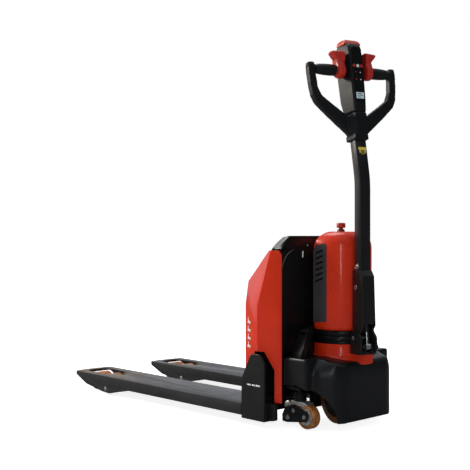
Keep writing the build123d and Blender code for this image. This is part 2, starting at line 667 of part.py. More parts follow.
def pump_unit():
    """Pump motor, valve block and oil tank inside the hood."""
    motor = post(STEER_X + 4, -34, 330, 470, 32)
    valves = block(STEER_X - 29, STEER_X + 40, -64, 64, HOOD_LOW, 330)
    tank = block(STEER_X - 29, STEER_X + 40, 10, 70, 330, 500)
    return motor + valves + tank


def controller():
    """Motor controller with cooling fins, on the pump unit."""
    body = block(STEER_X - 26, STEER_X + 36, -60, 60, 500, 560)
    for i in range(9):
        y = -52 + 13 * i
        body += block(STEER_X - 26, STEER_X + 36, y - 1.5, y + 1.5, 560, 574)
    return body


def estop_base():
    """Collar of the emergency stop on the hood's top."""
    base = post(STEER_X, 0, HOOD_TOP, HOOD_TOP + 8, 14)
    base += post(STEER_X, 0, HOOD_TOP - 24, HOOD_TOP, 8.5)
    return base - post(STEER_X, 0, HOOD_TOP - 16, HOOD_TOP + 9, 5 + RUN_FIT)


def estop_knob():
    """Red mushroom knob of the emergency stop."""
    cap = post(STEER_X, 0, HOOD_TOP + 13, HOOD_TOP + 27, 15.5)
    cap = fillet(cap.faces().sort_by(Axis.Z)[-1].edges(), 6)
    return cap + post(STEER_X, 0, HOOD_TOP - 8, HOOD_TOP + 14, 5)


# ---- casters ---------------------------------------------------------------
def caster_spring_cups():
    """Ribbed spring cups, each with its washer and nut, under the chassis arms."""
    cup = post(CASTER_X, -CASTER_Y, 92, 116, 23)
    for i in range(3):
        cup -= post(CASTER_X, -CASTER_Y, 96 + 7 * i, 99 + 7 * i, 24) - post(
            CASTER_X, -CASTER_Y, 95 + 7 * i, 100 + 7 * i, 20)
    cup += post(CASTER_X, -CASTER_Y, 116, 120, 15)
    cup += post(CASTER_X, -CASTER_Y, 120, 130, 9)
    cup -= post(CASTER_X, -CASTER_Y, 91, 118, 7 + RUN_FIT)
    return [cup, other_side(cup)]


def caster_fork():
    """Near caster fork: stem, top plate and two side plates."""
    x, y = CASTER_X, -CASTER_Y
    wheel_x = x + CASTER_TRAIL
    fork_part = post(x, y, 86, 116, 7) + post(x, y, 84, 90, 26)
    fork_part += block(x - 20, x + 34, y - 24, y + 24, 84, 88)
    for side in (-1, 1):
        y0, y1 = sorted((y + side * (CASTER_WIDTH / 2 + 2), y + side * (CASTER_WIDTH / 2 + 6)))
        cheek = [(x - 16, 88), (x - 26, 60), (x - 22, 34), (wheel_x - 12, CASTER_Z - 13)]
        cheek += [(wheel_x + 12, CASTER_Z - 10), (wheel_x + 14, CASTER_Z + 8), (x + 34, 88)]
        fork_part += side_plate(cheek, y0, y1)
    half = CASTER_WIDTH / 2 + 9
    fork_part += bar(wheel_x, CASTER_Z, y - half, y + half, CASTER_AXLE_R)
    return fork_part


def caster_wheel():
    """Near caster wheel with a dished hub."""
    x, half = CASTER_X + CASTER_TRAIL, CASTER_WIDTH / 2
    wheel = fillet(Cylinder(CASTER_R, CASTER_WIDTH).edges(), 5)
    wheel = Pos(x, -CASTER_Y, CASTER_Z) * Rot(90, 0, 0) * wheel
    for side in (-1, 1):
        y0, y1 = sorted((side * (half - 5), side * (half + 1)))
        dish = bar(x, CASTER_Z, y0 - CASTER_Y, y1 - CASTER_Y, 28)
        dish -= bar(x, CASTER_Z, y0 - CASTER_Y - 1, y1 - CASTER_Y + 1, 11)
        wheel -= dish
    return wheel - bar(x, CASTER_Z, -CASTER_Y - 30, -CASTER_Y + 30, CASTER_AXLE_R + RUN_FIT)


# ---- steering unit ---------------------------------------------------------
def steering_turret():
    """Turning neck and fork legs that hold the drive wheel."""
    turret = post(0, 0, 190, 198, 84) + post(0, 0, 198, NECK_TOP, NECK_R)
    turret -= post(0, 0, 199, NECK_TOP + 1, 56)
    for side in (-1, 1):
        y0, y1 = sorted((side * (WHEEL_WIDTH / 2 + 3), side * (WHEEL_WIDTH / 2 + 13)))
        turret += block(-32, 32, y0, y1, WHEEL_R, 190) + bar(0, WHEEL_R, y0, y1, 32)
        turret -= bar(0, WHEEL_R, y0 - 1, y1 + 1, 12 + RUN_FIT)
    return turned(turret)


def drive_axle():
    """Axle of the drive wheel."""
    half = WHEEL_WIDTH / 2 + 13
    return turned(bar(0, WHEEL_R, -half, half, 12))


def traction_motor():
    """Upright traction motor in the neck, with its slimmer shaft end above."""
    return turned(post(0, 0, 199, NECK_TOP, 55) + post(0, 0, NECK_TOP, COLLAR_LOW, 33))


def steering_collar():
    """Turning sector that carries the tiller, on a plate over the motor."""
    wedge = [(0, 0), (140, -140 * tan(radians(COLLAR_SPREAD))), (140, 140 * tan(radians(COLLAR_SPREAD)))]
    disc = post(0, 0, COLLAR_LOW, COLLAR_TOP, COLLAR_R) - post(0, 0, COLLAR_LOW + 6, COLLAR_TOP + 1, 92)
    sector = disc & plan_plate(wedge, COLLAR_LOW - 1, COLLAR_TOP + 1)
    return turned(sector + post(0, 0, COLLAR_LOW, COLLAR_LOW + 6, 33))


def drive_tyre():
    """Polyurethane tyre of the drive wheel."""
    tyre = fillet(Cylinder(WHEEL_R, WHEEL_WIDTH).edges(), 5)
    tyre = Pos(0, 0, WHEEL_R) * Rot(90, 0, 0) * tyre
    return turned(tyre - bar(0, WHEEL_R, -WHEEL_WIDTH, WHEEL_WIDTH, WHEEL_CORE_R))


def drive_core():
    """Cast core of the drive wheel, bored for the axle."""
    half = WHEEL_WIDTH / 2
    core = bar(0, WHEEL_R, -half + 2, half - 2, WHEEL_CORE_R)
    return turned(core - bar(0, WHEEL_R, -half, half, 12 + RUN_FIT))


def tiller_bracket():
    """Bracket on the collar with lugs for the tiller and the gas spring."""
    foot_r = HOOD_R + 1.5
    base = block(foot_r, 140, -34, 34, 246, 258) + block(140, 166, -20, 20, 246, 256)
    base += block(foot_r, 104.5, -34, 34, 246, 312) + block(COLLAR_R, foot_r, -34, 34, 285, 300)
    for side in (-1, 1):
        y0, y1 = sorted((side * (CHANNEL_HALF + 1.5), side * (CHANNEL_HALF + 9)))
        ear = block(foot_r, PIVOT_R, y0, y1, 258, PIVOT_Z + 16) + bar(PIVOT_R, PIVOT_Z, y0, y1, 16)
        ear += block(PIVOT_R, PIVOT_R + 16, y0, y1, 258, PIVOT_Z)
        base += ear - bar(PIVOT_R, PIVOT_Z, y0 - 1, y1 + 1, 7 + RUN_FIT)
        y0, y1 = sorted((side * 10.5, side * 15))
        lug = block(EYE_R - 9, EYE_R + 9, y0, y1, 255, EYE_Z) + bar(EYE_R, EYE_Z, y0, y1, 9)
        base += lug
    base += bar(EYE_R, EYE_Z, -15, 15, 4)
    return turned(base)


# ---- tiller ----------------------------------------------------------------
def tiller_channel():
    """Folded box at the tiller's foot, which covers the gas spring."""
    outline = [(CHANNEL_BACK, PIVOT_Z), (108.5, 288), (114, 283.2), (134, 283), (142, 306), (168, 340)]
    outline += [(160, 498), (146, 516), (CHANNEL_BACK, 516)]
    channel = side_plate(outline, -CHANNEL_HALF, CHANNEL_HALF)
    inner = CHANNEL_HALF - CHANNEL_WALL
    back = CHANNEL_BACK + CHANNEL_WALL
    rim = TUBE_R + TUBE / 2 + AIR
    hollow = [(back, 200), (200, 200), (200, 345), (165, 345), (157, 497)]
    hollow += [(rim, 510), (rim, 600), (back, 600)]
    channel -= side_plate(hollow, -inner, inner)
    channel -= block(90, 200, -inner, inner, 200, 322)
    channel -= bar(PIVOT_R, PIVOT_Z, -60, 60, 7 + RUN_FIT)
    return turned(channel)


def square_tube(size, z0, z1):
    """Upright square tube about the axis, with rounded corners."""
    sketch = RectangleRounded(size, size, 5)
    inside = size - 2 * TUBE_WALL
    tube = extrude(Plane.XY.offset(z0) * sketch, amount=z1 - z0)
    return tube - extrude(Plane.XY.offset(z0 - 1) * Rectangle(inside, inside), amount=z1 - z0 + 2)


def tiller_tube():
    """Square tube, upright in its lower part and leaning above the bend."""
    lower = Pos(TUBE_R, 0, 0) * square_tube(TUBE, TUBE_LOW, BEND_Z)
    half = TUBE / 2
    lower -= block(TUBE_R + half - TUBE_WALL - 1, TUBE_R + half + 1, -11.5, 11.5, TUBE_LOW - 1, TUBE_LOW + 45)
    upper = Pos(TUBE_R, 0, BEND_Z) * Rot(0, -LEAN, 0) * square_tube(TUBE, -4, POD_LOW - 4)
    return turned(lower + upper)


def tiller_bolts():
    """Tilt pin, and the bolts across the tiller's foot."""
    bolts = [turned(bar(PIVOT_R, PIVOT_Z, -CHANNEL_HALF - 11, CHANNEL_HALF + 11, 7))]
    for r, z in ((ANCHOR_R, ANCHOR_Z), (ANCHOR_R, 460)):
        half = TUBE / 2 if z > 516 else CHANNEL_HALF
        for side in (-1, 1):
            bolts.append(turned(bar(r, z, side * half, side * (half + 5), 8)))
    return bolts


def spring_body():
    """Barrel of the tiller's gas spring with its lower eye."""
    barrel = post(0, 0, 8, 130, SPRING_R) + bar(0, 0, -8, 8, 9)
    barrel -= bar(0, 0, -9, 9, 4 + RUN_FIT)
    barrel -= post(0, 0, 20, 131, 4 + RUN_FIT)
    lean = -degrees(atan2(EYE_R - ANCHOR_R, ANCHOR_Z - EYE_Z))
    return turned(Pos(EYE_R, 0, EYE_Z) * Rot(0, lean, 0) * barrel)


def spring_rod():
    """Piston rod of the gas spring, which ends just short of its anchor."""
    reach = sqrt((ANCHOR_R - EYE_R) ** 2 + (ANCHOR_Z - EYE_Z) ** 2)
    lean = -degrees(atan2(EYE_R - ANCHOR_R, ANCHOR_Z - EYE_Z))
    return turned(Pos(EYE_R, 0, EYE_Z) * Rot(0, lean, 0) * post(0, 0, 78, reach - 12, 4))


def handle_loop():
    """Handle frame: a V from the collar, two sides and a round cross bar."""
    outer = [(-20, 186), (-42, 200), (-148, 284), (-165, 314), (-KNUCKLE_Y, 400), (-KNUCKLE_Y, 420)]
    outer += [(-140, 420), (-134, 330), (-118, 304), (-40, 244), (-20, 244)]
    right = [(-y, s) for y, s in outer]
    frame = None
    for points in (outer, right):
        arm = face_plate(points, -LOOP_HALF_DEPTH, LOOP_HALF_DEPTH)
        frame = arm if frame is None else frame + arm
    frame += block(-26, 26, -30, 30, 178, 250)
    frame += bar(0, GRIP_S, -KNUCKLE_Y + 10, KNUCKLE_Y - 10, GRIP_CORE_R)
    frame -= block(-TUBE / 2 - AIR, TUBE / 2 + AIR, -TUBE / 2 - AIR, TUBE / 2 + AIR, 170, 260)
    return leaned(frame)


def grips():
    """Rubber grips on the handle's cross bar."""
    sleeves = []
    for side in (-1, 1):
        y0, y1 = sorted((side * (POD_HALF + 4), side * 131))
        sleeve = bar(0, GRIP_S, y0, y1, GRIP_R)
        sleeves.append(leaned(sleeve - bar(0, GRIP_S, y0 - 1, y1 + 1, GRIP_CORE_R + RUN_FIT)))
    return sleeves


def handle_pod():
    """Control head in the middle of the handle."""
    side = [(-24, POD_LOW), (22, POD_LOW), (36, POD_LOW + 78), (36, POD_TOP - 56), (28, POD_TOP - 10)]
    side += [(16, POD_TOP), (-20, POD_TOP), (-28, POD_TOP - 26), (-28, POD_LOW + 38)]
    pod = side_plate(side, -POD_HALF, POD_HALF)
    pod = fillet(pod.edges().filter_by(Axis.Y), 4)
    pod -= bar(0, GRIP_S, -POD_HALF - 1, POD_HALF + 1, GRIP_CORE_R + RUN_FIT)
    pod -= block(-16, 12, -28, 28, POD_TOP - 14, POD_TOP + 1)
    for y, s in BUTTON_PLACES:
        pod -= Pos(36, y, s) * Rot(0, 90, 0) * Cylinder(5 + AIR, 12)
    pod -= bar(*WING_AXIS, -POD_HALF - 1, POD_HALF + 1, 5 + RUN_FIT)
    pod -= block(35, 40, -17, 17, 322, 352)
    return leaned(pod)




def display():
    """Small display window set in the pod."""
    return leaned(block(35, 36.6, -16.5, 16.5, 322.5, 351.5))


def face_button(index):
    """One of the small round buttons on the pod's face."""
    y, s = BUTTON_PLACES[index]
    return leaned(Pos(36, y, s) * Rot(0, 90, 0) * Cylinder(5, 6.4))


def belly_button():
    """Large red safety button at the pod's top end."""
    cap = block(-19, 15, -32, 32, POD_TOP + 6.5, TOP_S)
    cap = fillet(cap.edges().filter_by(Axis.X), 4)
    return leaned(cap + block(-15.5, 11.5, -27.5, 27.5, POD_TOP - 6.5, POD_TOP + 7))


def throttle_wings():
    """Red thumb wings on one shaft through the pod."""
    r, s = WING_AXIS
    wings = bar(r, s, -POD_HALF - 6, POD_HALF + 6, 5)
    paddle = [(-10, -6), (14, -14), (24, -18), (26, -8), (20, 14), (8, 31), (-4, 31), (-12, 10)]
    for side in (-1, 1):
        y0, y1 = sorted((side * (POD_HALF + 1), side * 78))
        wings += side_plate([(r + dr, s + ds) for dr, ds in paddle], y0, y1)
    return leaned(wings)


# ---- write every node ------------------------------------------------------
def build():
    """All nodes about the steering frame, as name and shape."""
    nodes = {}
    for side, name in ((1, "near"), (-1, "far")):
        place = same_side if side == 1 else other_side
        nodes["fork_" + name] = place(fork())
        nodes["roller_link_" + name] = place(roller_link())
        nodes["roller_carrier_" + name] = place(tandem_carrier())
        nodes["load_roller_front_" + name] = place(load_roller(TANDEM_X - ROLLER_PITCH / 2))
        nodes["load_roller_rear_" + name] = place(load_roller(TANDEM_X + ROLLER_PITCH / 2))
        nodes["push_rod_" + name] = place(push_rod())
        nodes["caster_fork_" + name] = place(caster_fork())
        nodes["caster_wheel_" + name] = place(caster_wheel())
    nodes["heels"] = heels()
    nodes["caster_spring_cups"] = caster_spring_cups()
    nodes["collar_seat"] = collar_seat()
    nodes["link_pins"] = link_pins()
    nodes["fork_yoke"] = fork_yoke()
    nodes["rocker"] = rocker()
    nodes["front_cover"] = front_cover()
    nodes["battery_box"] = battery_box()
    nodes["battery"] = battery()
    nodes["battery_lid"] = battery_lid()
    nodes["chassis_frame"] = chassis_frame()
    nodes["drive_skirt"] = drive_skirt()
    nodes["hood"] = hood()
    nodes["hood_mount"] = hood_mount()
    nodes["vent_panels"] = vent_panels()
    nodes["lower_ring"] = lower_ring()
    nodes["side_brackets"] = side_brackets()
    nodes["lift_cylinder"] = lift_cylinder()
    nodes["lift_piston"] = lift_piston()
    nodes["pump_unit"] = pump_unit()
    nodes["controller"] = controller()
    nodes["estop_base"] = estop_base()
    nodes["estop_knob"] = estop_knob()
    nodes["steering_turret"] = steering_turret()
    nodes["drive_axle"] = drive_axle()
    nodes["traction_motor"] = traction_motor()
    nodes["steering_collar"] = steering_collar()
    nodes["drive_tyre"] = drive_tyre()
    nodes["drive_core"] = drive_core()
    nodes["tiller_bracket"] = tiller_bracket()
    nodes["tiller_channel"] = tiller_channel()
    nodes["tiller_tube"] = tiller_tube()
    nodes["tiller_bolts"] = tiller_bolts()
    nodes["spring_body"] = spring_body()
    nodes["spring_rod"] = spring_rod()
    nodes["handle_loop"] = handle_loop()
    nodes["grips"] = grips()
    nodes["handle_pod"] = handle_pod()
    nodes["display"] = display()
    nodes["lift_button"] = face_button(0)
    nodes["horn_button"] = face_button(1)
    nodes["lower_button"] = face_button(2)
    nodes["belly_button"] = belly_button()
    nodes["throttle_wings"] = throttle_wings()
    return nodes


def solids_of(shape):
    """Flat list of the solids in a shape or a list of shapes."""
    shapes = shape if isinstance(shape, list) else [shape]
    return [solid for item in shapes for solid in item.solids()]


NODES = {name: solids_of(shape) for name, shape in build().items()}
BOXES = [solid.bounding_box() for solids in NODES.values() for solid in solids]
MIDDLE_X = (min(box.min.X for box in BOXES) + max(box.max.X for box in BOXES)) / 2

if __name__ == "__main__":
    os.makedirs("parts", exist_ok=True)
    for name, solids in NODES.items():
        moved = [Pos(-MIDDLE_X, 0, 0) * solid for solid in solids]
        whole = moved[0] if len(moved) == 1 else Compound(children=moved)
        export_step(whole, "parts/" + name + ".step")
    print("steering axis after the shift", STEER_X - MIDDLE_X)
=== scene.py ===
import json
import math

import bmesh
import bpy
from mathutils import Matrix, Vector

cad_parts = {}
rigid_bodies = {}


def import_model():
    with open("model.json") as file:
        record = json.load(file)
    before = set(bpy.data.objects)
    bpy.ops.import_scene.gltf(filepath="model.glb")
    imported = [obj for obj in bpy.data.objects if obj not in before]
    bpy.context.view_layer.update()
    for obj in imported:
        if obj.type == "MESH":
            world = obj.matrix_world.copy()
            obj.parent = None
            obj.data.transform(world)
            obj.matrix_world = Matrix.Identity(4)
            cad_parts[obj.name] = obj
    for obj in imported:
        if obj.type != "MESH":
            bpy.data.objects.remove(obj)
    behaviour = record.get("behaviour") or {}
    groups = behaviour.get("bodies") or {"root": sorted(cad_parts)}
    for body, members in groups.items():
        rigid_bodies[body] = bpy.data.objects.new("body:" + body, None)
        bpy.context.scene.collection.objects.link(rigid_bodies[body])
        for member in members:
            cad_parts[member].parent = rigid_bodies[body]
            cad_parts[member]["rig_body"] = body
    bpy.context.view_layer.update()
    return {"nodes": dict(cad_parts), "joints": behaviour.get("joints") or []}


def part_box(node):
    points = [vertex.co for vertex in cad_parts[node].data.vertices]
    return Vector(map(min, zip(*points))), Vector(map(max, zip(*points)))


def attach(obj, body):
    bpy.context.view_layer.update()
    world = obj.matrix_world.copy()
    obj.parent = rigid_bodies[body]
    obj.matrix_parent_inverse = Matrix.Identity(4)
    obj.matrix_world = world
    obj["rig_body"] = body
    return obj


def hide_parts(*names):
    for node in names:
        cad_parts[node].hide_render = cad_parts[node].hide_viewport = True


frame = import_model()

# ---- places and directions taken from the frame ----------------------------
JOINTS = {joint["name"]: joint for joint in frame["joints"]}
BODY_OF = {node: obj["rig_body"] for node, obj in frame["nodes"].items()}
STEER_AT = Vector(JOINTS["steer"]["pos_m"])
TILT_AXIS = Vector(JOINTS["tilt"]["axis"])
REST_STEER = math.atan2(-TILT_AXIS.x, TILT_AXIS.y)
TOOL_PRESS = Vector(JOINTS["belly_press"]["axis"])
LEAN = math.acos(-TOOL_PRESS.z)          # of the handle, from upright
SIDES = (("near", -1), ("far", 1))
X, Y, Z = Vector((1, 0, 0)), Vector((0, 1, 0)), Vector((0, 0, 1))


# ---- mesh helpers ----------------------------------------------------------
def new_object(name, mesh):
    """Object for a mesh, in the scene."""
    obj = bpy.data.objects.new(name, mesh)
    bpy.context.scene.collection.objects.link(obj)
    return obj


def from_bmesh(name, bm):
    """Object from a bmesh, with smooth shading."""
    bmesh.ops.recalc_face_normals(bm, faces=bm.faces[:])
    mesh = bpy.data.meshes.new(name)
    bm.to_mesh(mesh)
    bm.free()
    for polygon in mesh.polygons:
        polygon.use_smooth = True
    return new_object(name, mesh)


def apply_modifiers(obj):
    """Bake an object's modifiers into its mesh."""
    depsgraph = bpy.context.evaluated_depsgraph_get()
    mesh = bpy.data.meshes.new_from_object(obj.evaluated_get(depsgraph))
    obj.modifiers.clear()
    obj.data = mesh
    return obj


def bevelled(obj, width, segments=3, angle=30.0):
    """Round an object's edges that are sharper than an angle; width in metres."""
    bevel = obj.modifiers.new("bevel", "BEVEL")
    bevel.width = width
    bevel.segments = segments
    bevel.limit_method = "ANGLE"
    bevel.angle_limit = math.radians(angle)
    bevel.harden_normals = True
    return apply_modifiers(obj)


def skin(node, width):
    """Copy of a CAD node with rounded edges, shown in the node's place."""
    bm = bmesh.new()
    bm.from_mesh(frame["nodes"][node].data)
    bmesh.ops.remove_doubles(bm, verts=bm.verts[:], dist=2e-6)
    bmesh.ops.dissolve_limit(bm, angle_limit=math.radians(1.0), verts=bm.verts[:], edges=bm.edges[:])
    obj = bevelled(from_bmesh(node + "_skin", bm), width)
    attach(obj, BODY_OF[node])
    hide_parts(node)
    return obj


# ---- materials -------------------------------------------------------------
def material(name, colour, rough, metallic=0.0, coat=0.0, coat_rough=0.1, specular=0.5):
    """Material with its plain numbers set on the shader."""
    mat = bpy.data.materials.new(name)
    mat.use_nodes = True
    inputs = mat.node_tree.nodes["Principled BSDF"].inputs
    inputs["Base Color"].default_value = (*colour, 1.0)
    inputs["Roughness"].default_value = rough
    inputs["Metallic"].default_value = metallic
    inputs["Coat Weight"].default_value = coat
    inputs["Coat Roughness"].default_value = coat_rough
    inputs["Specular IOR Level"].default_value = specular
    return mat


def add_node(tree, kind, inputs, **settings):
    """Shader node with its settings; each input is a value, or an output to link."""
    node = tree.nodes.new("ShaderNode" + kind)
    for name, value in settings.items():
        setattr(node, name, value)
    for key, value in inputs.items():
        if isinstance(value, bpy.types.NodeSocket):
            tree.links.new(value, node.inputs[key])
        else:
            node.inputs[key].default_value = value
    return node


def drive_input(mat, output, name):
    """Link an output to an input of the material's shader."""
    mat.node_tree.links.new(output, mat.node_tree.nodes["Principled BSDF"].inputs[name])


def noise(mat, scale, detail=4.0, stretch=(1.0, 1.0, 1.0)):
    """Noise in object coordinates whose grain is 1/scale metres."""
    tree = mat.node_tree
    coords = add_node(tree, "TexCoord", {})
    mapping = add_node(tree, "Mapping", {"Vector": coords.outputs["Object"], "Scale": stretch})
    node = add_node(tree, "TexNoise", {"Vector": mapping.outputs["Vector"], "Scale": scale, "Detail": detail})
    return node.outputs["Fac"]


def vary_colour(mat, source, dark, light):
    """Base colour that drifts between two colours."""
    ramp = mat.node_tree.nodes.new("ShaderNodeValToRGB")
    for element, position, colour in zip(ramp.color_ramp.elements, (0.35, 0.65), (dark, light)):
        element.position = position
        element.color = (*colour, 1.0)
    mat.node_tree.links.new(source, ramp.inputs["Fac"])
    drive_input(mat, ramp.outputs["Color"], "Base Color")


def vary_roughness(mat, source, low, high):
    """Roughness that drifts between two values."""
    span = add_node(mat.node_tree, "MapRange", {"Value": source, "From Min": 0.3, "From Max": 0.7,
                                                "To Min": low, "To Max": high})
    drive_input(mat, span.outputs["Result"], "Roughness")


def bump(mat, source, height):
    """Surface relief of a height in metres."""
    node = add_node(mat.node_tree, "Bump", {"Height": source, "Distance": height, "Strength": 1.0})
    drive_input(mat, node.outputs["Normal"], "Normal")


def layered(name, colour, rough, kind, *layers):
    """Material with noise in its colour, its roughness and its relief."""
    mat = material(name, colour, rough, **kind)
    for add, layer in zip((vary_colour, vary_roughness, bump), layers):
        if layer:
            add(mat, noise(mat, *layer[0]), *layer[1:])
    return mat


def finished(name, colour, rough, spread, grain, relief, kind):
    """Painted or moulded surface: slow colour drift, uneven gloss and fine grain."""
    dark = tuple(c * (1 - spread) for c in colour)
    light = tuple(min(1.0, c * (1 + spread)) for c in colour)
    return layered(name, colour, rough, kind, ((9.0,), dark, light), ((25.0,), rough * 0.88, rough * 1.12),
                   ((grain, 2.0), relief))


# colour, roughness, spread of the colour, grain per metre, relief in metres, other numbers
RED_COAT = {"coat": 0.3, "coat_rough": 0.1, "specular": 0.35}
PAINTS = {
    "powder_black": ((0.0105, 0.0110, 0.0120), 0.38, 0.15, 420.0, 5e-5, {"specular": 0.32}),
    "fork_black": ((0.017, 0.018, 0.020), 0.36, 0.2, 420.0, 5e-5, {"specular": 0.45}),
    "red_paint": ((0.66, 0.032, 0.008), 0.30, 0.05, 160.0, 3e-5,
                  {"coat": 0.35, "coat_rough": 0.07, "specular": 0.15}),
    "skirt_plastic": ((0.0062, 0.0068, 0.0078), 0.34, 0.12, 700.0, 2e-5, {"specular": 0.42}),
    "box_black": ((0.0045, 0.0048, 0.0052), 0.32, 0.12, 500.0, 2e-5, {"specular": 0.3}),
    "lid_black": ((0.0060, 0.0058, 0.0060), 0.30, 0.12, 600.0, 2e-5, {"specular": 0.3}),
    # painted light: pale grey for the lit sides of the lid and for the highlight on the battery box's shoulder
    "painted_light_grey": ((0.19, 0.20, 0.20), 0.55, 0.12, 1600.0, 6e-5, {"specular": 0.3}),
    "vent_grey": ((0.046, 0.045, 0.050), 0.5, 0.08, 1300.0, 4e-5, {"specular": 0.25}),
    "handle_plastic": ((0.0075, 0.0085, 0.0092), 0.42, 0.12, 1500.0, 5e-5, {"specular": 0.3}),
    "grip_rubber": ((0.010, 0.012, 0.0125), 0.5, 0.15, 1800.0, 5e-5, {"specular": 0.3}),
    "red_plastic": ((0.50, 0.020, 0.012), 0.30, 0.06, 600.0, 2e-5, RED_COAT),
    "cap_plastic": ((0.60, 0.060, 0.022), 0.32, 0.06, 600.0, 2e-5, RED_COAT),
    "cast_metal": ((0.055, 0.055, 0.058), 0.6, 0.2, 350.0, 1e-4, {"metallic": 0.4}),
    "motor_grey": ((0.10, 0.10, 0.107), 0.45, 0.1, 500.0, 4e-5, {}),
    # near black: dark trim round the display, and painted shade in the louvre slots
    "dark_trim_and_slot_shade": ((0.004, 0.004, 0.004), 0.7, 0.1, 600.0, 2e-5, {"specular": 0.1}),
    # white print, also used as the painted highlight along the lid's edges
    "white_print_and_painted_highlight": ((0.80, 0.80, 0.78), 0.5, 0.03, 900.0, 1e-5, {}),
    "display_cyan": ((0.62, 0.80, 0.82), 0.25, 0.03, 900.0, 1e-5, {}),
    "yellow_pale": ((0.72, 0.58, 0.10), 0.42, 0.05, 900.0, 1e-5, {}),
    "ochre_print": ((0.20, 0.15, 0.02), 0.45, 0.08, 900.0, 1e-5, {}),
    "dark_red": ((0.16, 0.012, 0.012), 0.4, 0.06, 600.0, 2e-5, {"specular": 0.3}),
    "yellow_print": ((0.80, 0.58, 0.03), 0.42, 0.05, 900.0, 1e-5, {}),
}


# colour, roughness, other numbers; then the noise and the range of each layer
SPECIAL = {
    "polyurethane": ((0.42, 0.16, 0.045), 0.38, {"specular": 0.4},
                     ((60.0,), (0.26, 0.090, 0.024), (0.50, 0.21, 0.07)),
                     ((180.0,), 0.30, 0.48), ((1200.0,), 3e-5)),
    "zinc": ((0.66, 0.67, 0.68), 0.28, {"metallic": 1.0},
             ((70.0,), (0.52, 0.53, 0.55), (0.78, 0.78, 0.77)),
             ((300.0, 3.0, (1.0, 6.0, 1.0)), 0.22, 0.40)),
    "zinc_white": ((0.62, 0.64, 0.63), 0.42, {"metallic": 0.75},
                   ((90.0,), (0.50, 0.52, 0.51), (0.74, 0.75, 0.74)),
                   ((260.0,), 0.34, 0.52), ((900.0,), 2e-5)),
    "bright_steel": ((0.55, 0.55, 0.56), 0.22, {"metallic": 1.0}, None,
                     ((500.0, 2.0, (0.2, 1.0, 1.0)), 0.16, 0.30), ((900.0, 2.0, (0.1, 1.0, 1.0)), 1e-5)),
}
MATERIALS = {}


def paint(obj, name):
    """Give a piece or a CAD node one material all over."""
    if name not in MATERIALS:
        MATERIALS[name] = (finished(name, *PAINTS[name]) if name in PAINTS
                           else layered(name, *SPECIAL[name]))
    mat = MATERIALS[name]
    if obj.material_slots:
        for slot in obj.material_slots:
            slot.material = mat
    else:
        obj.data.materials.append(mat)
    return obj


# ---- CAD nodes: material, width in metres of the rounded edges of a node that
# ---- shows (0 leaves it as it is, or to a piece below), and the nodes; a star
# ---- stands for the near and the far one -----------------------------------
FINISH = [
    ("powder_black", 0, "heels fork_yoke rocker tiller_bracket tiller_tube spring_body caster_fork_*"),
    ("bright_steel", 0, "lift_piston drive_axle spring_rod push_rod_*"),
    ("polyurethane", 0, "drive_tyre load_roller_front_* load_roller_rear_* caster_wheel_*"),
    ("red_paint", 0, "hood lower_ring"), ("red_plastic", 0, "estop_knob throttle_wings"),
    ("skirt_plastic", 0, "drive_skirt"), ("lid_black", 0, "battery_lid"), ("vent_grey", 0, "vent_panels"),
    ("handle_plastic", 0, "handle_loop handle_pod"), ("grip_rubber", 0, "grips"),
    ("cap_plastic", 0, "belly_button"), ("box_black", 0, "steering_collar"), ("zinc", 0, "controller"),
    ("yellow_print", 0, "estop_base"), ("white_print_and_painted_highlight", 0, "display"),
    ("fork_black", 0.0012, "fork_*"), ("zinc", 0.001, "link_pins"), ("motor_grey", 0.003, "battery"),
    ("red_paint", 0.005, "front_cover"), ("box_black", 0.0015, "battery_box"),
    ("powder_black", 0.001, "chassis_frame"), ("box_black", 0.001, "hood_mount collar_seat"),
    ("box_black", 0.0015, "side_brackets"), ("powder_black", 0.001, "lift_cylinder"),
    ("motor_grey", 0.001, "pump_unit"), ("handle_plastic", 0.0008, "caster_spring_cups"),
    ("cast_metal", 0.001, "steering_turret"), ("motor_grey", 0.001, "traction_motor"),
    ("cast_metal", 0.001, "drive_core"), ("powder_black", 0.002, "tiller_channel"),
    ("zinc", 0.0012, "tiller_bolts"), ("red_plastic", 0.0008, "lift_button"),
    ("white_print_and_painted_highlight", 0.0008, "horn_button"), ("red_plastic", 0.0008, "lower_button"),
    ("powder_black", 0.0008, "roller_link_near roller_carrier_near roller_link_far roller_carrier_far"),
]


def finish_cad_nodes():
    """Paint each CAD node, and show the outer ones on rounded edges."""
    for name, width, nodes in FINISH:
        for node in nodes.split():
            for full in ([node.replace("*", label) for label, _ in SIDES] if "*" in node else [node]):
                paint(frame["nodes"][full], name)
                if width:
                    paint(skin(full, width), name)


# ---- points from millimetres -----------------------------------------------
TUBE_OUT = 127.5              # the tiller's tube stands this far behind the steering axis
BEND_UP = 770.0               # and leans back above this height


def at(x, y, z):
    """Point about the steering axis on the floor."""
    return Vector((STEER_AT.x + x / 1000, y / 1000, z / 1000))


def on_arm(out, y, z):
    """Point about the steering axis, along the tiller at rest."""
    turn, across = math.cos(REST_STEER), math.sin(REST_STEER)
    return at(out * turn - y * across, out * across + y * turn, z)


def on_handle(r, y, s):
    """Point in the leaning handle: towards the user, across, up."""
    out = TUBE_OUT + r * math.cos(LEAN) - s * math.sin(LEAN)
    up = BEND_UP + r * math.sin(LEAN) + s * math.cos(LEAN)
    return on_arm(out, y, up)


def on_side(side):
    """Place function of a side of the truck: out from the middle, along, up."""
    return lambda depth, x, z: at(x, side * depth, z)


def beside_arm(side):
    """Place function of a side of the tiller: out from its middle, along, up."""
    return lambda depth, out, z: on_arm(out, side * depth, z)


def far_end(node, end):
    """X of a node's low (0) or high (1) end, in millimetres from the steering axis."""
    return (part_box(node)[end].x - STEER_AT.x) * 1000


ARM_ACROSS = on_arm(0, 1, 0) - on_arm(0, 0, 0)            # a millimetre long
ACROSS = on_handle(0, 1, 0) - on_handle(0, 0, 0)          # a millimetre long
HANDLE_OUT = (on_handle(1, 0, 0) - on_handle(0, 0, 0)).normalized()
HANDLE_UP = (on_handle(0, 0, 1) - on_handle(0, 0, 0)).normalized()


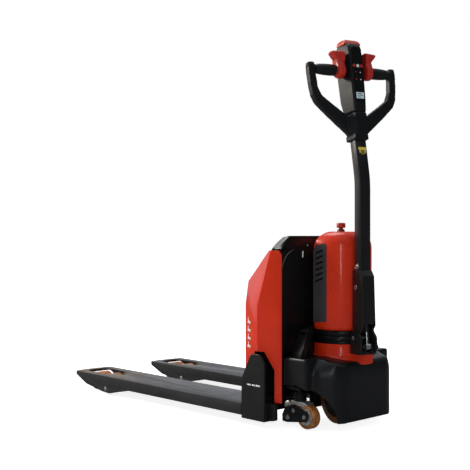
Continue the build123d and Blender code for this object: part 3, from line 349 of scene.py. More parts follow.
# ---- solids ----------------------------------------------------------------
def add_loft(bm, rings):
    """Closed solid through rings that have the same number of points."""
    loops = [[bm.verts.new(point) for point in ring] for ring in rings]
    count = len(loops[0])
    for lower, upper in zip(loops, loops[1:]):
        for i in range(count):
            j = (i + 1) % count
            bm.faces.new((lower[i], lower[j], upper[j], upper[i]))
    bm.faces.new(list(reversed(loops[0])))
    bm.faces.new(loops[-1])


def add_box(bm, x0, x1, y0, y1, z0, z1, place=at):
    """Block between limits."""
    corners = [(x0, y0), (x1, y0), (x1, y1), (x0, y1)]
    add_loft(bm, [[place(x, y, z) for x, y in corners] for z in (z0, z1)])


def add_plate(bm, place, outline, near, far):
    """Solid between two depths, with an outline of across and up."""
    add_loft(bm, [[place(depth, y, s) for y, s in outline] for depth in (near, far)])


def add_stack(bm, place, levels):
    """Solid through rectangles, each given as up, back, front and the two halves."""
    rings = []
    for s, back, front, half_back, half_front in levels:
        corners = [(back, -half_back), (front, -half_front), (front, half_front), (back, half_back)]
        rings.append([place(r, y, s) for r, y in corners])
    add_loft(bm, rings)


def add_sheet(bm, inner, outer):
    """Closed thin solid between two grids of points."""
    low = [[bm.verts.new(point) for point in row] for row in inner]
    high = [[bm.verts.new(point) for point in row] for row in outer]
    rows, columns = len(low) - 1, len(low[0]) - 1
    for i in range(rows):
        for j in range(columns):
            bm.faces.new((high[i][j], high[i + 1][j], high[i + 1][j + 1], high[i][j + 1]))
            bm.faces.new((low[i][j], low[i][j + 1], low[i + 1][j + 1], low[i + 1][j]))
    rim = [(i, 0) for i in range(rows + 1)] + [(rows, j) for j in range(1, columns + 1)]
    rim += [(i, columns) for i in range(rows - 1, -1, -1)]
    rim += [(0, j) for j in range(columns - 1, 0, -1)]
    for (i, j), (k, m) in zip(rim, rim[1:] + rim[:1]):
        bm.faces.new((low[i][j], low[k][m], high[k][m], high[i][j]))


def made(name, add, *shape):
    """Object of one solid that an add function makes."""
    bm = bmesh.new()
    add(bm, *shape)
    return from_bmesh(name, bm)


def loft(name, rings):
    """Object of one closed loft."""
    return made(name, add_loft, rings)


def circle(centre, u, v, radius, steps=64):
    """Ring of points round a centre in the plane of u and v; radius in metres."""
    turn = [2 * math.pi * i / steps for i in range(steps)]
    return [centre + u * (radius * math.cos(a)) + v * (radius * math.sin(a)) for a in turn]


def drum(name, profile, steps=64):
    """Turned shape on the steering axis, from heights and radii in millimetres."""
    return loft(name, [circle(at(0, 0, z), X, Y, r / 1000, steps) for z, r in profile])


def melted(obj, voxel, steps):
    """Fuse an object's overlapping solids and soften every edge."""
    remesh = obj.modifiers.new("remesh", "REMESH")
    remesh.mode = "VOXEL"
    remesh.voxel_size = voxel
    remesh.use_smooth_shade = True
    smooth = obj.modifiers.new("smooth", "SMOOTH")
    smooth.factor = 0.5
    smooth.iterations = steps
    return apply_modifiers(obj)


def cut(obj, cutter):
    """Subtract a cutter from an object, and remove the cutter."""
    carve = obj.modifiers.new("cut", "BOOLEAN")
    carve.operation = "DIFFERENCE"
    carve.solver = "MANIFOLD"
    carve.object = cutter
    apply_modifiers(obj)
    bpy.data.objects.remove(cutter)
    return obj


def flat_edges_sharp(obj, angle=35.0):
    """Keep smooth shading off edges that are sharper than an angle."""
    bm = bmesh.new()
    bm.from_mesh(obj.data)
    for edge in bm.edges:
        if len(edge.link_faces) == 2:
            edge.smooth = edge.calc_face_angle(0.0) < math.radians(angle)
    bm.to_mesh(obj.data)
    bm.free()
    return obj


def show(obj, body, name, *nodes):
    """Hang a piece on a body, paint it, and hide the CAD nodes it stands for."""
    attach(obj, body)
    if nodes:
        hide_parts(*nodes)
    return paint(obj, name)


def show_loft(name, rings, angle, body, look, *nodes):
    """Show a loft that keeps edges sharp from an angle."""
    return show(flat_edges_sharp(loft(name, rings), angle), body, look, *nodes)


def show_plate(name, place, outline, near, far, body, look, edge=(), *nodes):
    """Show a plate; edge holds what bevelled needs, or nothing for plain edges."""
    plate = made(name, add_plate, place, outline, near, far)
    return show(bevelled(plate, *edge) if edge else plate, body, look, *nodes)


def once(label, node):
    """A CAD node that the near piece of a pair stands for."""
    return (node,) if label == "near" else ()


def rounded(points, radii, steps=6):
    """Outline whose corners are arcs of the given radii, in the same units."""
    outline = []
    count = len(points)
    for i, radius in enumerate(radii):
        here = Vector(points[i])
        before, after = Vector(points[i - 1]) - here, Vector(points[(i + 1) % count]) - here
        if radius <= 0:
            outline.append(tuple(here))
            continue
        half = before.angle(after) / 2
        reach = radius / math.tan(half)
        middle = (before.normalized() + after.normalized()).normalized()
        centre = here + middle * (radius / math.sin(half))
        start, end = (here + line.normalized() * reach - centre for line in (before, after))
        sweep = start.angle_signed(end)
        for k in range(steps + 1):
            turn = -sweep * k / steps
            cos, sin = math.cos(turn), math.sin(turn)
            outline.append((centre.x + start.x * cos - start.y * sin,
                            centre.y + start.x * sin + start.y * cos))
    return outline


# ---- drive skirt: millimetres about the steering axis ----------------------
SKIRT_DRAFT = [(27, 0), (172, 0), (181, 0.6), (188, 2.6), (198, 8), (208, 15.5), (218, 24), (227, 33.5),
               (234, 43), (239, 54)]            # height, and how far the plan is drawn in
SOFT_INSET = 12                                 # the plan's corners are softer below this inset
WALL = 7                                        # thickness of the moulding
ARCH_X, ARCH_Z, ARCH_RADIUS = -24, 38, 0.110    # wheel arches; the radius is in metres
ARCH_STRETCH = Vector((1.11, 0, 0))             # they are longer than tall


def skirt_outline(inset, z):
    """Plan of the skirt at a height, drawn in by inset, with round rear corners."""
    rear, half, rear_half = 114 - inset / 4, 188 - inset, 112 - inset / 2
    right = [(-40, half), (38, half), (92, rear_half + 34), (rear, rear_half)]
    points = [(x, -y) for x, y in right] + list(reversed(right))
    soft = max(0.0, 1.0 - inset / SOFT_INSET)
    radii = [0, 40 + 50 * soft, 26 + 60 * soft, 24 + 36 * soft]
    ring = rounded(points, radii + list(reversed(radii)), 8)
    return [at(x, y, z) for x, y in ring]


def skirt_fall(x):
    """Height of the skirt's top, which falls away to the operator."""
    return 240.0 - max(0.0, (x - 28.0) * 0.3)


def drive_skirt():
    """Moulded skirt: one soft body with two side panels, arches and a ring hole."""
    bm = bmesh.new()
    add_loft(bm, [skirt_outline(inset, z) for z, inset in SKIRT_DRAFT])
    for _, side in SIDES:
        low, high = sorted((side * 150, side * 215))
        add_box(bm, -65, 34, low, high, 96, 235)
    obj = melted(from_bmesh("drive_skirt_shell", bm), 0.004, 8)
    for vert in obj.data.vertices:               # press the top down to the falling line
        limit = (skirt_fall((vert.co.x - STEER_AT.x) * 1000) - 6) / 1000
        if vert.co.z > limit:
            vert.co.z = limit + (vert.co.z - limit) * 0.3
    hollow = [skirt_outline(WALL, -10), skirt_outline(WALL, 172), skirt_outline(46, 205)]
    cut(obj, loft("hollow", hollow))
    cut(obj, drum("hole", [(170, 103), (270, 103)]))
    for _, side in SIDES:
        arch = [circle(at(ARCH_X, side * y, ARCH_Z), ARCH_STRETCH, Z * side, ARCH_RADIUS) for y in (101, 240)]
        cut(obj, loft("arch", arch))
        low, high = sorted((side * 120, side * 210))
        cut(obj, made("hollow", add_box, -61, 30, low, high, 60, 227))
    cut(obj, made("front", add_box, -90, -31.5, -128, 128, 0, 270))
    flat_edges_sharp(obj)
    show(obj, "chassis", "skirt_plastic", "drive_skirt")


# ---- hood: millimetres about the steering axis -----------------------------
HOOD_RADIUS = 102.0
HOOD_FRONT = -36.0            # flat front of the plan
HOOD_STEPS = 28               # round its back
PATCH_STEPS, PATCH_ROWS = 14, 4


def hood_outline(inset, z):
    """Plan of the hood: flat front, short flat sides and a round back."""
    r, x0 = HOOD_RADIUS - inset, HOOD_FRONT + inset
    points = [(x0 + 6, -r), (x0, -r + 6), (x0, r - 6), (x0 + 6, r)]
    points += [(x0 - x0 * k / 3, r) for k in (1, 2)]
    turns = [math.pi * i / HOOD_STEPS for i in range(HOOD_STEPS + 1)]
    points += [(r * math.sin(turn), r * math.cos(turn)) for turn in turns]
    points += [(x0 - x0 * k / 3, -r) for k in (2, 1)]
    return [at(x, y, z) for x, y in points]


def hood():
    """Red hood with a deep rounded crown and a rolled lower edge."""
    rings = [hood_outline(12, 317), hood_outline(6, 318.6), hood_outline(2, 323), hood_outline(0, 331)]
    rings += [hood_outline(0, z) for z in (380, 440, 500, 560)]
    for step in range(10):
        turn = math.radians(10 * step)
        rings.append(hood_outline(46 * (1 - math.cos(turn)), 588 + 54 * math.sin(turn)))
    show_loft("hood_shell", rings, 50, "chassis", "red_paint", "hood")


def around_hood(side, distance, z, out):
    """Point on the hood's side at a distance back from its front edge."""
    x = HOOD_FRONT + distance
    if x <= 0:
        return at(x, side * (HOOD_RADIUS + out), z)
    turn = x / HOOD_RADIUS
    return at((HOOD_RADIUS + out) * math.sin(turn), side * (HOOD_RADIUS + out) * math.cos(turn), z)


def hood_patch(name, side, corners, thick, low):
    """Thin plate that follows the hood's side inside a four-sided outline."""
    grids = []
    for out in (low, low + thick):
        grid = []
        for i in range(PATCH_STEPS + 1):
            bottom, top = ([a + (b - a) * (i / PATCH_STEPS) for a, b in zip(start, end)]
                           for start, end in ((corners[0], corners[1]), (corners[3], corners[2])))
            row = []
            for j in range(PATCH_ROWS + 1):
                distance, z = [a + (b - a) * (j / PATCH_ROWS) for a, b in zip(bottom, top)]
                row.append(around_hood(side, distance, z, out))
            grid.append(row)
        grids.append(grid)
    return made(name, add_sheet, *grids)


def vents():
    """Louvred panels that wrap the hood's sides, with dark strips of painted shade for the louvres' openings."""
    for label, side in SIDES:
        panels = (("vent_plate_", [(3, 343), (58, 346), (58, 592), (3, 577)], once(label, "vent_panels")),
                  ("vent_brow_", [(3, 577), (58, 592), (52, 603), (14, 598)], ()))
        for name, corners, nodes in panels:
            plate = hood_patch(name + label, side, corners, 2.2, -1.2)
            show(flat_edges_sharp(plate, 40), "chassis", "vent_grey", *nodes)
        for i in range(6):
            # painted shade: each slot is a thin near-black strip on the panel standing for the shaded opening;
            # the lip beside it is the vent's own grey
            z = 478 + 18.5 * i
            slot = [(14, z - 3), (45, z + 7), (45, z + 13), (14, z + 3)]
            lip = [(14, z - 4.6), (45, z + 5.4), (45, z + 7), (14, z - 3)]
            for name, corners, thick, low, look in (("louvre_%s_%d", slot, 0.6, 0.8, "dark_trim_and_slot_shade"),
                                                    ("louvre_lip_%s_%d", lip, 1.6, 0.6, "vent_grey")):
                show(hood_patch(name % (label, i), side, corners, thick, low), "chassis", look)


def estop():
    """Red mushroom button on a dark red collar, on the hood's crown."""
    knob = drum("estop_cap", [(648.6, 7.5), (654.3, 7.5), (654.5, 13.0), (656, 15.0), (668, 15.0),
                              (670.5, 13.8), (671.6, 9.0)], 40)
    show(flat_edges_sharp(knob, 50), "estop_knob", "red_plastic", "estop_knob")
    neck = drum("estop_neck", [(638, 13.5), (644, 13.5), (645.5, 12.2), (649.6, 12.2)], 40)
    cut(neck, drum("bore", [(640, 8.6), (660, 8.6)], 40))
    show(flat_edges_sharp(neck, 50), "chassis", "dark_red", "estop_base")


# ---- ring and collar: millimetres about the steering axis ------------------
RING_RADIUS = 101.2
RING_FLAT = -35.5             # the ring and the collar are cut flat in front
FLARE_TOP = 243               # the tiller's bracket turns above this height
COLLAR_SPREAD = math.radians(34)                # half of the sector that turns
COLLAR_STEPS = 24


def ring_point(turn, radius, z):
    """Point about the steering axis on the plan of the hood, cut flat in front."""
    return at(max(RING_FLAT, radius * math.cos(turn)), radius * math.sin(turn), z)


def ring_loop(radius, z, steps):
    """Whole ring at one height."""
    return [ring_point(2 * math.pi * i / steps, radius, z) for i in range(steps)]


def lower_ring():
    """Red ring round the steering neck, flared to cover the skirt's opening."""
    steps = 120
    flares = [(0.0, 12.0), (0.06, 12.6), (0.2, 10.2), (0.4, 6.0), (0.65, 2.6), (0.85, 1.1), (1.0, 0.7)]
    outer = []
    for share, flare in flares:
        ring = []
        for i in range(steps):
            turn = 2 * math.pi * i / steps
            low = skirt_fall(112 * math.cos(turn)) - 7
            ring.append(ring_point(turn, RING_RADIUS + flare, low + (FLARE_TOP - low) * share))
        outer.append(ring)
    outer += [ring_loop(RING_RADIUS - inset, z, steps) for z, inset in ((272.0, 0.0), (275.0, 2.5))]
    obj = cut(loft("lower_ring_cover", outer), drum("neck", [(190, 94), (290, 94)]))
    show(flat_edges_sharp(obj, 40), "chassis", "red_paint", "lower_ring")


def collar():
    """Black band between hood and ring, and the sector that turns with the tiller."""
    profile = ((283.2, 95.5), (284.6, 97.4), (300.2, 97.4), (301.8, 95.5))
    band = loft("collar_band", [ring_loop(radius, z, 96) for z, radius in profile])
    cut(band, drum("neck", [(270, 86), (310, 86)]))
    show(flat_edges_sharp(band, 50), "chassis", "box_black")
    turns = [REST_STEER - COLLAR_SPREAD + 2 * COLLAR_SPREAD * i / COLLAR_STEPS
             for i in range(COLLAR_STEPS + 1)]
    rings = []
    for z, inset in ((284.4, 0.8), (285.4, 0.0), (299.6, 0.0), (300.6, 0.8)):
        outer = [ring_point(a, 101.0 - inset, z) for a in turns]
        rings.append(outer + [ring_point(a, 98.0, z) for a in reversed(turns)])
    show_loft("collar_sector", rings, 40, "steering", "box_black", "steering_collar")


# ---- tiller's foot: millimetres along the arm ------------------------------
EYE = (155.0, 0.0, 272.0)      # lower eye of the gas spring
ANCHOR = (127.0, 0.0, 526.0)   # its upper anchor
ARM_BACK = 103.5               # back of the bracket, against the collar


def bracket():
    """Forked bracket of the collar: two rounded cheeks, a floor, a wall and two lugs."""
    outline = rounded([(ARM_BACK, 246), (ARM_BACK, 300), (112, 314), (147, 320), (165, 303), (165, 262),
                       (158, 250), (150, 246)], [1, 6, 10, 12, 18, 14, 8, 4], 8)
    for label, side in SIDES:
        show_plate("bracket_cheek_" + label, beside_arm(side), outline, 24.8, 32.0,
                   "steering", "powder_black", (0.0015,), *once(label, "tiller_bracket"))
    for name, edge, limits in (("floor", 0.0015, (ARM_BACK, 158, -25.5, 25.5, 246.5, 256)),
                               ("wall", 0, (ARM_BACK, 104.5, -26, 26, 250, 311)),
                               ("foot", 0.001, (100.6, 103.8, -33, 33, 285.5, 299.5))):
        block = made("bracket_" + name, add_box, *limits, on_arm)
        show(bevelled(block, edge) if edge else block, "steering", "powder_black")
    outline = rounded([(146, 250), (146, 281), (164, 281), (164, 250)], [0.5, 8.5, 8.5, 0.5], 8)
    for label, side in SIDES:
        lug = made("spring_lug_" + label, add_plate, beside_arm(side), outline, 10.5, 14.5)
        show(flat_edges_sharp(lug), "steering", "powder_black")


def spring():
    """Gas spring's barrel on a thin bright neck, with a zinc eyelet round its pin."""
    foot, top = on_arm(*EYE), on_arm(*ANCHOR)
    axis = (top - foot).normalized()
    across = ARM_ACROSS.normalized()
    third = axis.cross(across)

    along, crosswise = (axis, across, third), (across, third, axis)

    def turned(name, line, profile):
        """Turned shape on a line through the eye, from distances and radii."""
        return loft(name, [circle(foot + line[0] * (d / 1000), *line[1:], r / 1000, 32) for d, r in profile])

    for name, line, profile, bore, look, nodes in (
            ("barrel", along, [(47, 6.0), (49, 8.0), (129, 8.0), (130, 7.0)], [(40, 4.3), (140, 4.3)],
             "powder_black", ["spring_body"]),
            ("neck", along, [(9.5, 5.4), (48, 5.4)], [(20, 4.3), (140, 4.3)], "bright_steel", []),
            ("eye", crosswise, [(-8, 9.6), (-7, 10.4), (7, 10.4), (8, 9.6)], [(-20, 4.4), (20, 4.4)],
             "zinc", [])):
        obj = cut(turned("spring_" + name, line, profile), turned("bore", line, bore))
        show(flat_edges_sharp(obj), "gas_spring", look, *nodes)
    pin = turned("spring_pin", crosswise, [(-17, 3.4), (-16.4, 4.0), (16.4, 4.0), (17, 3.4)])
    show(flat_edges_sharp(pin), "steering", "zinc")


# ---- handle: millimetres towards the user, across and up -------------------
BAR_UP = 403                  # height of the cross bar
GRIP_STEPS = 24
HUB_STEPS = 48


def handle_loop():
    """One smooth moulding: V, two sides with knuckles, and the cross bar."""
    outer = [(22, 184), (40, 194), (104, 248), (148, 288), (160, 312), (166, 352), (169, 398), (166, 424)]
    inner = [(146, 424), (143, 384), (139, 340), (127, 314), (100, 294), (38, 252), (22, 252)]
    bm = bmesh.new()
    for _, side in SIDES:
        add_plate(bm, on_handle, [(side * y, s) for y, s in outer + inner], -15, 9)
        knuckle = Matrix.Translation(on_handle(-3, side * 156, 411))
        bmesh.ops.create_uvsphere(bm, u_segments=24, v_segments=16, radius=15.5 / 1000, matrix=knuckle)
    middle = on_handle(-1, 0, BAR_UP)
    add_loft(bm, [circle(middle + ACROSS * y, HANDLE_OUT, HANDLE_UP, 0.013, 24) for y in (-156, 156)])
    add_stack(bm, on_handle, [(178, -25, 27, 25, 23), (258, -25, 33, 26, 23)])
    for _, side in SIDES:
        web = [(side * y, s) for y, s in ((18, 182), (34, 192), (36, 248), (18, 258))]
        add_plate(bm, on_handle, web, -20, 20)
    add_stack(bm, on_handle, [(168, -28, 26, 28, 26), (186, -28, 27, 28, 26)])
    obj = melted(from_bmesh("handle_moulding", bm), 0.0026, 9)
    show(obj, "tiller", "handle_plastic", "handle_loop")


def grips():
    """Rubber grips that swell in the middle and step down at the ends."""
    for label, side in SIDES:
        rings = []
        for i in range(GRIP_STEPS + 1):
            t = i / GRIP_STEPS
            radius = 15.2 + 3.6 * math.sin(math.pi * min(1.0, t * 1.04)) ** 0.7
            if t < 0.06 or t > 0.94:
                radius -= 1.6
            centre = on_handle(0, 0, BAR_UP) + ACROSS * (side * (43 + 99 * t))
            rings.append(circle(centre, HANDLE_OUT, HANDLE_UP, radius / 1000, 40))
        show_loft("grip_" + label, rings, 60, "tiller", "grip_rubber", *once(label, "grips"))


def handle_pod():
    """Control head that widens towards its back, with rounded edges."""
    levels = [(258, -25, 33, 31, 22), (300, -29, 35.2, 38, 23), (380, -30, 35.6, 41, 24),
              (452, -30, 35.6, 40, 24), (482, -28, 30, 38, 24), (497, -22, 18, 34, 23)]
    pod = bevelled(made("pod_shell", add_stack, on_handle, levels), 0.007, 4, 12.0)
    show(pod, "tiller", "handle_plastic", "handle_pod")
    outline = [(-19.5, 290), (19.5, 290), (20, 470), (15, 478), (-15, 478), (-20, 470)]
    show_plate("pod_fascia", on_handle, outline, 34, 36.4, "tiller", "box_black", (0.0016,))


def small_plate(name, y, s, wide, tall, near, far, look, edge=0.0004):
    """Thin rectangular piece on the tiller, from its middle and half sizes."""
    corners = [(y - wide, s - tall), (y + wide, s - tall), (y + wide, s + tall), (y - wide, s + tall)]
    return show_plate(name, on_handle, corners, near, far, "tiller", look, (edge, 2))


def pod_face():
    """Blank display with bars, and four small lights on the pod's face."""
    small_plate("display_frame", 0, 312, 17, 13, 35.8, 36.9, "dark_trim_and_slot_shade", 0.001)
    glass = small_plate("display_glass", 0, 312, 14.6, 10.6, 36.3, 37.3, "display_cyan")
    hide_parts("display")
    for i, wide in enumerate((9, 11, 7)):
        small_plate("display_bar_%d" % i, wide - 11, 318 - 6 * i, wide, 1.1, 37.0, 37.5, "vent_grey", 0.0002)
    lights = [(-9, 391, "red_plastic"), (8, 390, "white_print_and_painted_highlight"),
              (-9, 367, "red_plastic"), (8, 366, "white_print_and_painted_highlight")]
    for i, (y, s, look) in enumerate(lights):
        small_plate("pod_light_%d" % i, y, s, 1.7, 2.0, 36.0, 37.2, look, 0.0006)


def hub_ring(side, y, scale):
    """Outline of a hub at one width: a round on the grip, drawn up to the wing."""
    ring = []
    for k in range(HUB_STEPS):
        angle = 2 * math.pi * k / HUB_STEPS
        low = math.sin(angle) < 0.15
        r, s, radius = (9.0, 398.5, 24.5) if low else (6.0, 438.0, 17.0)
        ring.append(on_handle(r + radius * scale * math.cos(angle), side * y,
                              s + radius * scale * math.sin(angle)))
    return ring


def wings():
    """Red thumb wings that flare outwards to a horn, over fixed red hubs."""
    levels = [(424, -4, 27, 60), (434, -9, 33, 66), (446, -10, 36, 76), (458, -8, 34, 86), (464, -3, 25, 82)]
    widths = ((41.5, 0.90), (44, 0.99), (58, 1.0), (64, 0.93), (67, 0.78))
    for label, side in SIDES:
        rings = []
        for s, back, front, tip in levels:
            corners = [(back, 41.0), (front, 41.0), (front - 7, tip), (back + 4, tip)]
            rings.append([on_handle(r, side * y, s) for r, y in corners])
        wing = bevelled(loft("wing_" + label, rings), 0.0045, 4, 15.0)
        show(wing, "wings", "red_plastic", *once(label, "throttle_wings"))
        rings = [hub_ring(side, y, scale) for y, scale in widths]
        show_loft("wing_hub_" + label, rings, 60, "tiller", "red_plastic")


def cap():
    """Rounded safety button at the handle's top, with its darker foot."""
    levels = [(489.5, -25, 20, 35, 32), (496, -25, 19, 36, 32), (506, -21, 13, 32, 28),
              (511, -13, 5, 24, 20)]
    dome = bevelled(made("cap_dome", add_stack, on_handle, levels), 0.006, 5, 8.0)
    show(dome, "belly_button", "cap_plastic", "belly_button")
    neck = made("cap_neck", add_stack, on_handle, [(480, -14, 10, 24, 20), (490, -14, 10, 24, 20)])
    show(bevelled(neck, 0.002), "belly_button", "red_plastic")


def tube_ring(z, out, deep, wide):
    """Rectangle round the tube's middle, from its half sizes."""
    corners = [(out - deep, -wide), (out + deep, -wide), (out + deep, wide), (out - deep, wide)]
    return [on_arm(r, y, z) for r, y in corners]


def tiller_tube():
    """Square tube with a gentle bend below the handle, hollow in its lower part."""
    bends = [(442, TUBE_OUT), (776, TUBE_OUT), (792, 127.1), (808, 125.9), (824, 123.7), (842, 120.4),
             (944, 100.0)]
    tube = bevelled(loft("tube_shell", [tube_ring(z, out, 17.5, 20.5) for z, out in bends]), 0.004, 4, 40.0)
    cut(tube, loft("bore", [tube_ring(z, TUBE_OUT, 15.8, 18.5) for z in (430, 700)]))
    show(flat_edges_sharp(tube), "tiller", "powder_black", "tiller_tube")


def sticker():
    """Blank yellow sticker of two panels, each with a plain dark shape."""
    small_plate("sticker_back", 2, 108, 15.5, 36, 17.9, 18.9, "yellow_print", 0.0003)
    for i, s in enumerate((126, 90)):
        small_plate("sticker_panel_%d" % i, 2, s, 12.5, 15.5, 18.6, 19.3, "yellow_pale", 0.0002)
        small_plate("sticker_shape_%d" % i, 2, s + 1, 7.5, 7.5, 19.1, 19.6, "ochre_print", 0.0002)


# ---- heels -----------------------------------------------------------------
def heels():
    """Gussets with round shoulders and a foot that runs back under the cover."""
    front, back = far_end("heels", 0), far_end("heels", 1)
    plate = rounded([(front, 26), (back, 26), (back, 214), (back - 24, 243), (front + 44, 243), (front, 157)],
                    [3, 3, 26, 16, 22, 20])
    foot = rounded([(front, 26), (back, 26), (back, 84), (front, 84)], [3, 3, 3, 3])
    sill = rounded([(back - 2, 27), (back + 29, 32), (back + 29, 84), (back - 2, 84)], [2, 8, 2, 2])
    for label, side in SIDES:
        place = on_side(side)
        show_plate("heel_plate_" + label, place, plate, 270.5, 279.4, "fork_frame", "powder_black",
                   (0.0025, 3, 40.0), *once(label, "heels"))
        for name, shape, near, far in (("heel_foot_", foot, 245.4, 271), ("heel_sill_", sill, 246, 259)):
            show_plate(name + label, place, shape, near, far, "fork_frame", "powder_black", (0.002, 2, 40.0))
        for i, (x, half) in enumerate(((-16, 9), (4, 7), (24, 10))):
            low, high = front + 54 + x - half, front + 54 + x + half
            bar = [(low, 138), (high, 138), (high, 143), (low, 143)]
            show_plate("heel_bar_%s_%d" % (label, i), place, bar, 279.0, 279.9, "fork_frame", "white_print_and_painted_highlight")


# ---- lid: millimetres ------------------------------------------------------
LID_RINGS = [(584.6, 48, 222, 16), (592.6, 44, 220, 18), (606.6, 36, 210, 20), (618.6, 28, 197, 20),
             (625.6, 23, 188, 18), (627.8, 20, 182, 16)]    # height, depth, half width, corner
INSET_LOW, INSET_TALL = 587.0, 38.0             # of the skins on its sides
INSET_STEPS, INSET_ROWS = 12, 3


def lid_half(z):
    """Half width of the lid's crown at a height."""
    for (z0, _, half0, _), (z1, _, half1, _) in zip(LID_RINGS, LID_RINGS[1:]):
        if z <= z1:
            return half0 + (half1 - half0) * (z - z0) / (z1 - z0)
    return LID_RINGS[-1][2]


def lid_strip(name, side, start, end, out, look):
    """Thin skin of painted light on the lid's sloping side, between two curves of height."""
    back = far_end("battery_lid", 1)
    grids = []
    for lift in (-0.6, out):
        grid = []
        for i in range(INSET_STEPS + 1):
            z = INSET_LOW + INSET_TALL * i / INSET_STEPS
            depths = [start(z) + (end(z) - start(z)) * j / INSET_ROWS for j in range(INSET_ROWS + 1)]
            grid.append([at(back - depth, side * (lid_half(z) + lift), z) for depth in depths])
        grids.append(grid)
    show(flat_edges_sharp(made(name, add_sheet, *grids), 50), "lid", look)


def lid():
    """Rounded lid with an apron in front; each side has a pale grey skin of painted light where its slope is lit,
    edged by a white painted highlight.
    """
    back = far_end("battery_lid", 1)
    rings = []
    for z, depth, half, corner in LID_RINGS:
        points = [(back - depth, -half), (back, -half), (back, half), (back - depth, half)]
        rings.append([at(x, y, z) for x, y in rounded(points, [corner, 3, 3, corner], 5)])
    show_loft("lid_crown", rings, 38, "lid", "lid_black", "battery_lid")
    outline = [(-134, 550.4), (-135, 556), (-106, 592), (-102.4, 592), (-102.4, 580.4)]
    show_plate("lid_apron", on_side(-1), outline, -219, 219, "lid", "lid_black", (0.002,))

    def edge(z):
        """Curved border of the painted light, as a distance from the lid's rear."""
        return 25.0 - 22.0 * max(0.0, (z - 586.0) / 40.0) ** 0.55

    def front(z):
        """Front border of the painted light, behind the rounded corner."""
        return 42.0 - 20.0 * max(0.0, (z - 590.0) / 38.0)

    # painted light: each sloping side of the lid gets a pale grey skin where it is lit, and a thin white painted
    # highlight along its curved lower edge
    for label, side in SIDES:
        lid_strip("lid_painted_light_" + label, side, front, edge, 0.3, "painted_light_grey")
        lid_strip("lid_painted_highlight_" + label, side, edge, lambda z: edge(z) - 1.3, 0.8, "white_print_and_painted_highlight")


def bolt(name, centre, axis, radius, body, tall):
    """Zinc washer with a six-sided, dished head; radius and height in millimetres."""
    axis = Vector(axis).normalized()
    u = axis.orthogonal().normalized()
    v = axis.cross(u)
    lift = axis / 1000
    washer = ((-0.5, 1.35), (1.2, 1.35), (1.5, 1.25))
    head = ((1.2, 1.0), (tall - 0.8, 1.0), (tall, 0.86), (tall - 0.6, 0.55), (tall - 1.2, 0.2))
    for part, profile, sides, angle in (("_washer", washer, 24, 35.0), ("_head", head, 6, 20)):
        rings = [circle(centre + lift * height, u, v, radius * share / 1000, sides)
                 for height, share in profile]
        show_loft(name + part, rings, angle, body, "zinc")


# ---- casters: millimetres about the swivel axis ----------------------------
AXLE_X, AXLE_Z = 38, 43.0
FINS = 8


def caster_place(label, side):
    """Place function about a caster's swivel axis: out to the side, along, up."""
    pivot = Vector(JOINTS["caster_swivel_" + label]["pos_m"])
    return lambda y, x, z: Vector((pivot.x + x / 1000, pivot.y + side * y / 1000, z / 1000))


def caster(label, side):
    """Swivel caster: side plates, zinc swivel head with its lobe, and hubs with fins."""
    place = caster_place(label, side)
    body, wheel = "caster_fork_" + label, "caster_wheel_" + label
    out = place(1, 0, 0) - place(0, 0, 0)
    plate = rounded([(-59, 42), (-58, 19), (-38, 17), (48, 29), (55, 44), (53, 60), (30, 68), (-4, 80),
                     (-44, 68)], [5, 4, 6, 6, 10, 8, 8, 8, 8], 4)
    for i, (y0, y1, face) in enumerate(((18.5, 22.5, 22.5), (-22.5, -18.5, -22.5))):
        show_plate("caster_cheek_%s_%d" % (label, i), place, plate, y0, y1, body, "powder_black",
                   (0.001, 2, 40.0), *([] if i else [body]))
        for k, (x, z, radius) in enumerate(((-34, 33, 6.0), (-8, 58, 5.0), (AXLE_X, AXLE_Z, 5.5))):
            name = "caster_bolt_%s_%d_%d" % (label, i, k)
            bolt(name, place(face, x, z), -out if i else out, radius, body, 4.0)
    outline = rounded([(-24, 78), (26, 74), (44, 79), (44, 85), (26, 90), (-24, 90)], [3, 4, 3, 3, 5, 5], 3)
    show_plate("caster_head_" + label, place, outline, -18.3, 18.3, body, "zinc_white", (0.002, 3, 40.0))
    rings = [circle(place(y, -42, 72), X, Z, radius / 1000, 28)
             for y, radius in ((-15, 12), (-13, 14.5), (13, 14.5), (15, 12))]
    show_loft("caster_lobe_" + label, rings, 40, body, "zinc_white")
    rings = [circle(place(0, 0, z), X, Y, 0.0065, 20) for z in (88, 116)]
    show_loft("caster_stem_" + label, rings, 40, body, "bright_steel")
    profile = ((14.2, 27.0), (16.6, 27.0), (17.2, 25.5), (16.0, 21.0), (15.6, 13.0), (17.8, 10.0), (18.2, 7.0))
    for i, flip in enumerate((-1, 1)):
        rings = [circle(place(flip * y, AXLE_X, AXLE_Z), X, Z, radius / 1000, 40) for y, radius in profile]
        show_loft("caster_hub_%s_%d" % (label, i), rings, 30, wheel, "zinc_white")
        bm = bmesh.new()
        for k in range(FINS):
            turn = 2 * math.pi * k / FINS
            radial = X * math.cos(turn) + Z * math.sin(turn)
            wide = (X * -math.sin(turn) + Z * math.cos(turn)) * 0.0014
            inner, outer = radial * 0.011, radial * 0.023
            bases = [place(flip * y, AXLE_X, AXLE_Z) for y in (15.4, 17.4)]
            add_loft(bm, [[base + inner - wide, base + outer - wide, base + outer + wide, base + inner + wide]
                          for base in bases])
        show(from_bmesh("caster_fins_%s_%d" % (label, i), bm), wheel, "zinc_white")


# ---- marks and trim --------------------------------------------------------
def facet_point(out, x, z):
    """Point on the near front facet of the cover, along and up, out from its face."""
    half = -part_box("front_cover")[0].y * 1000 - 22.0
    return at(far_end("front_cover", 0) + x, -(half + x * 22.0 / 78.0 + out), z)


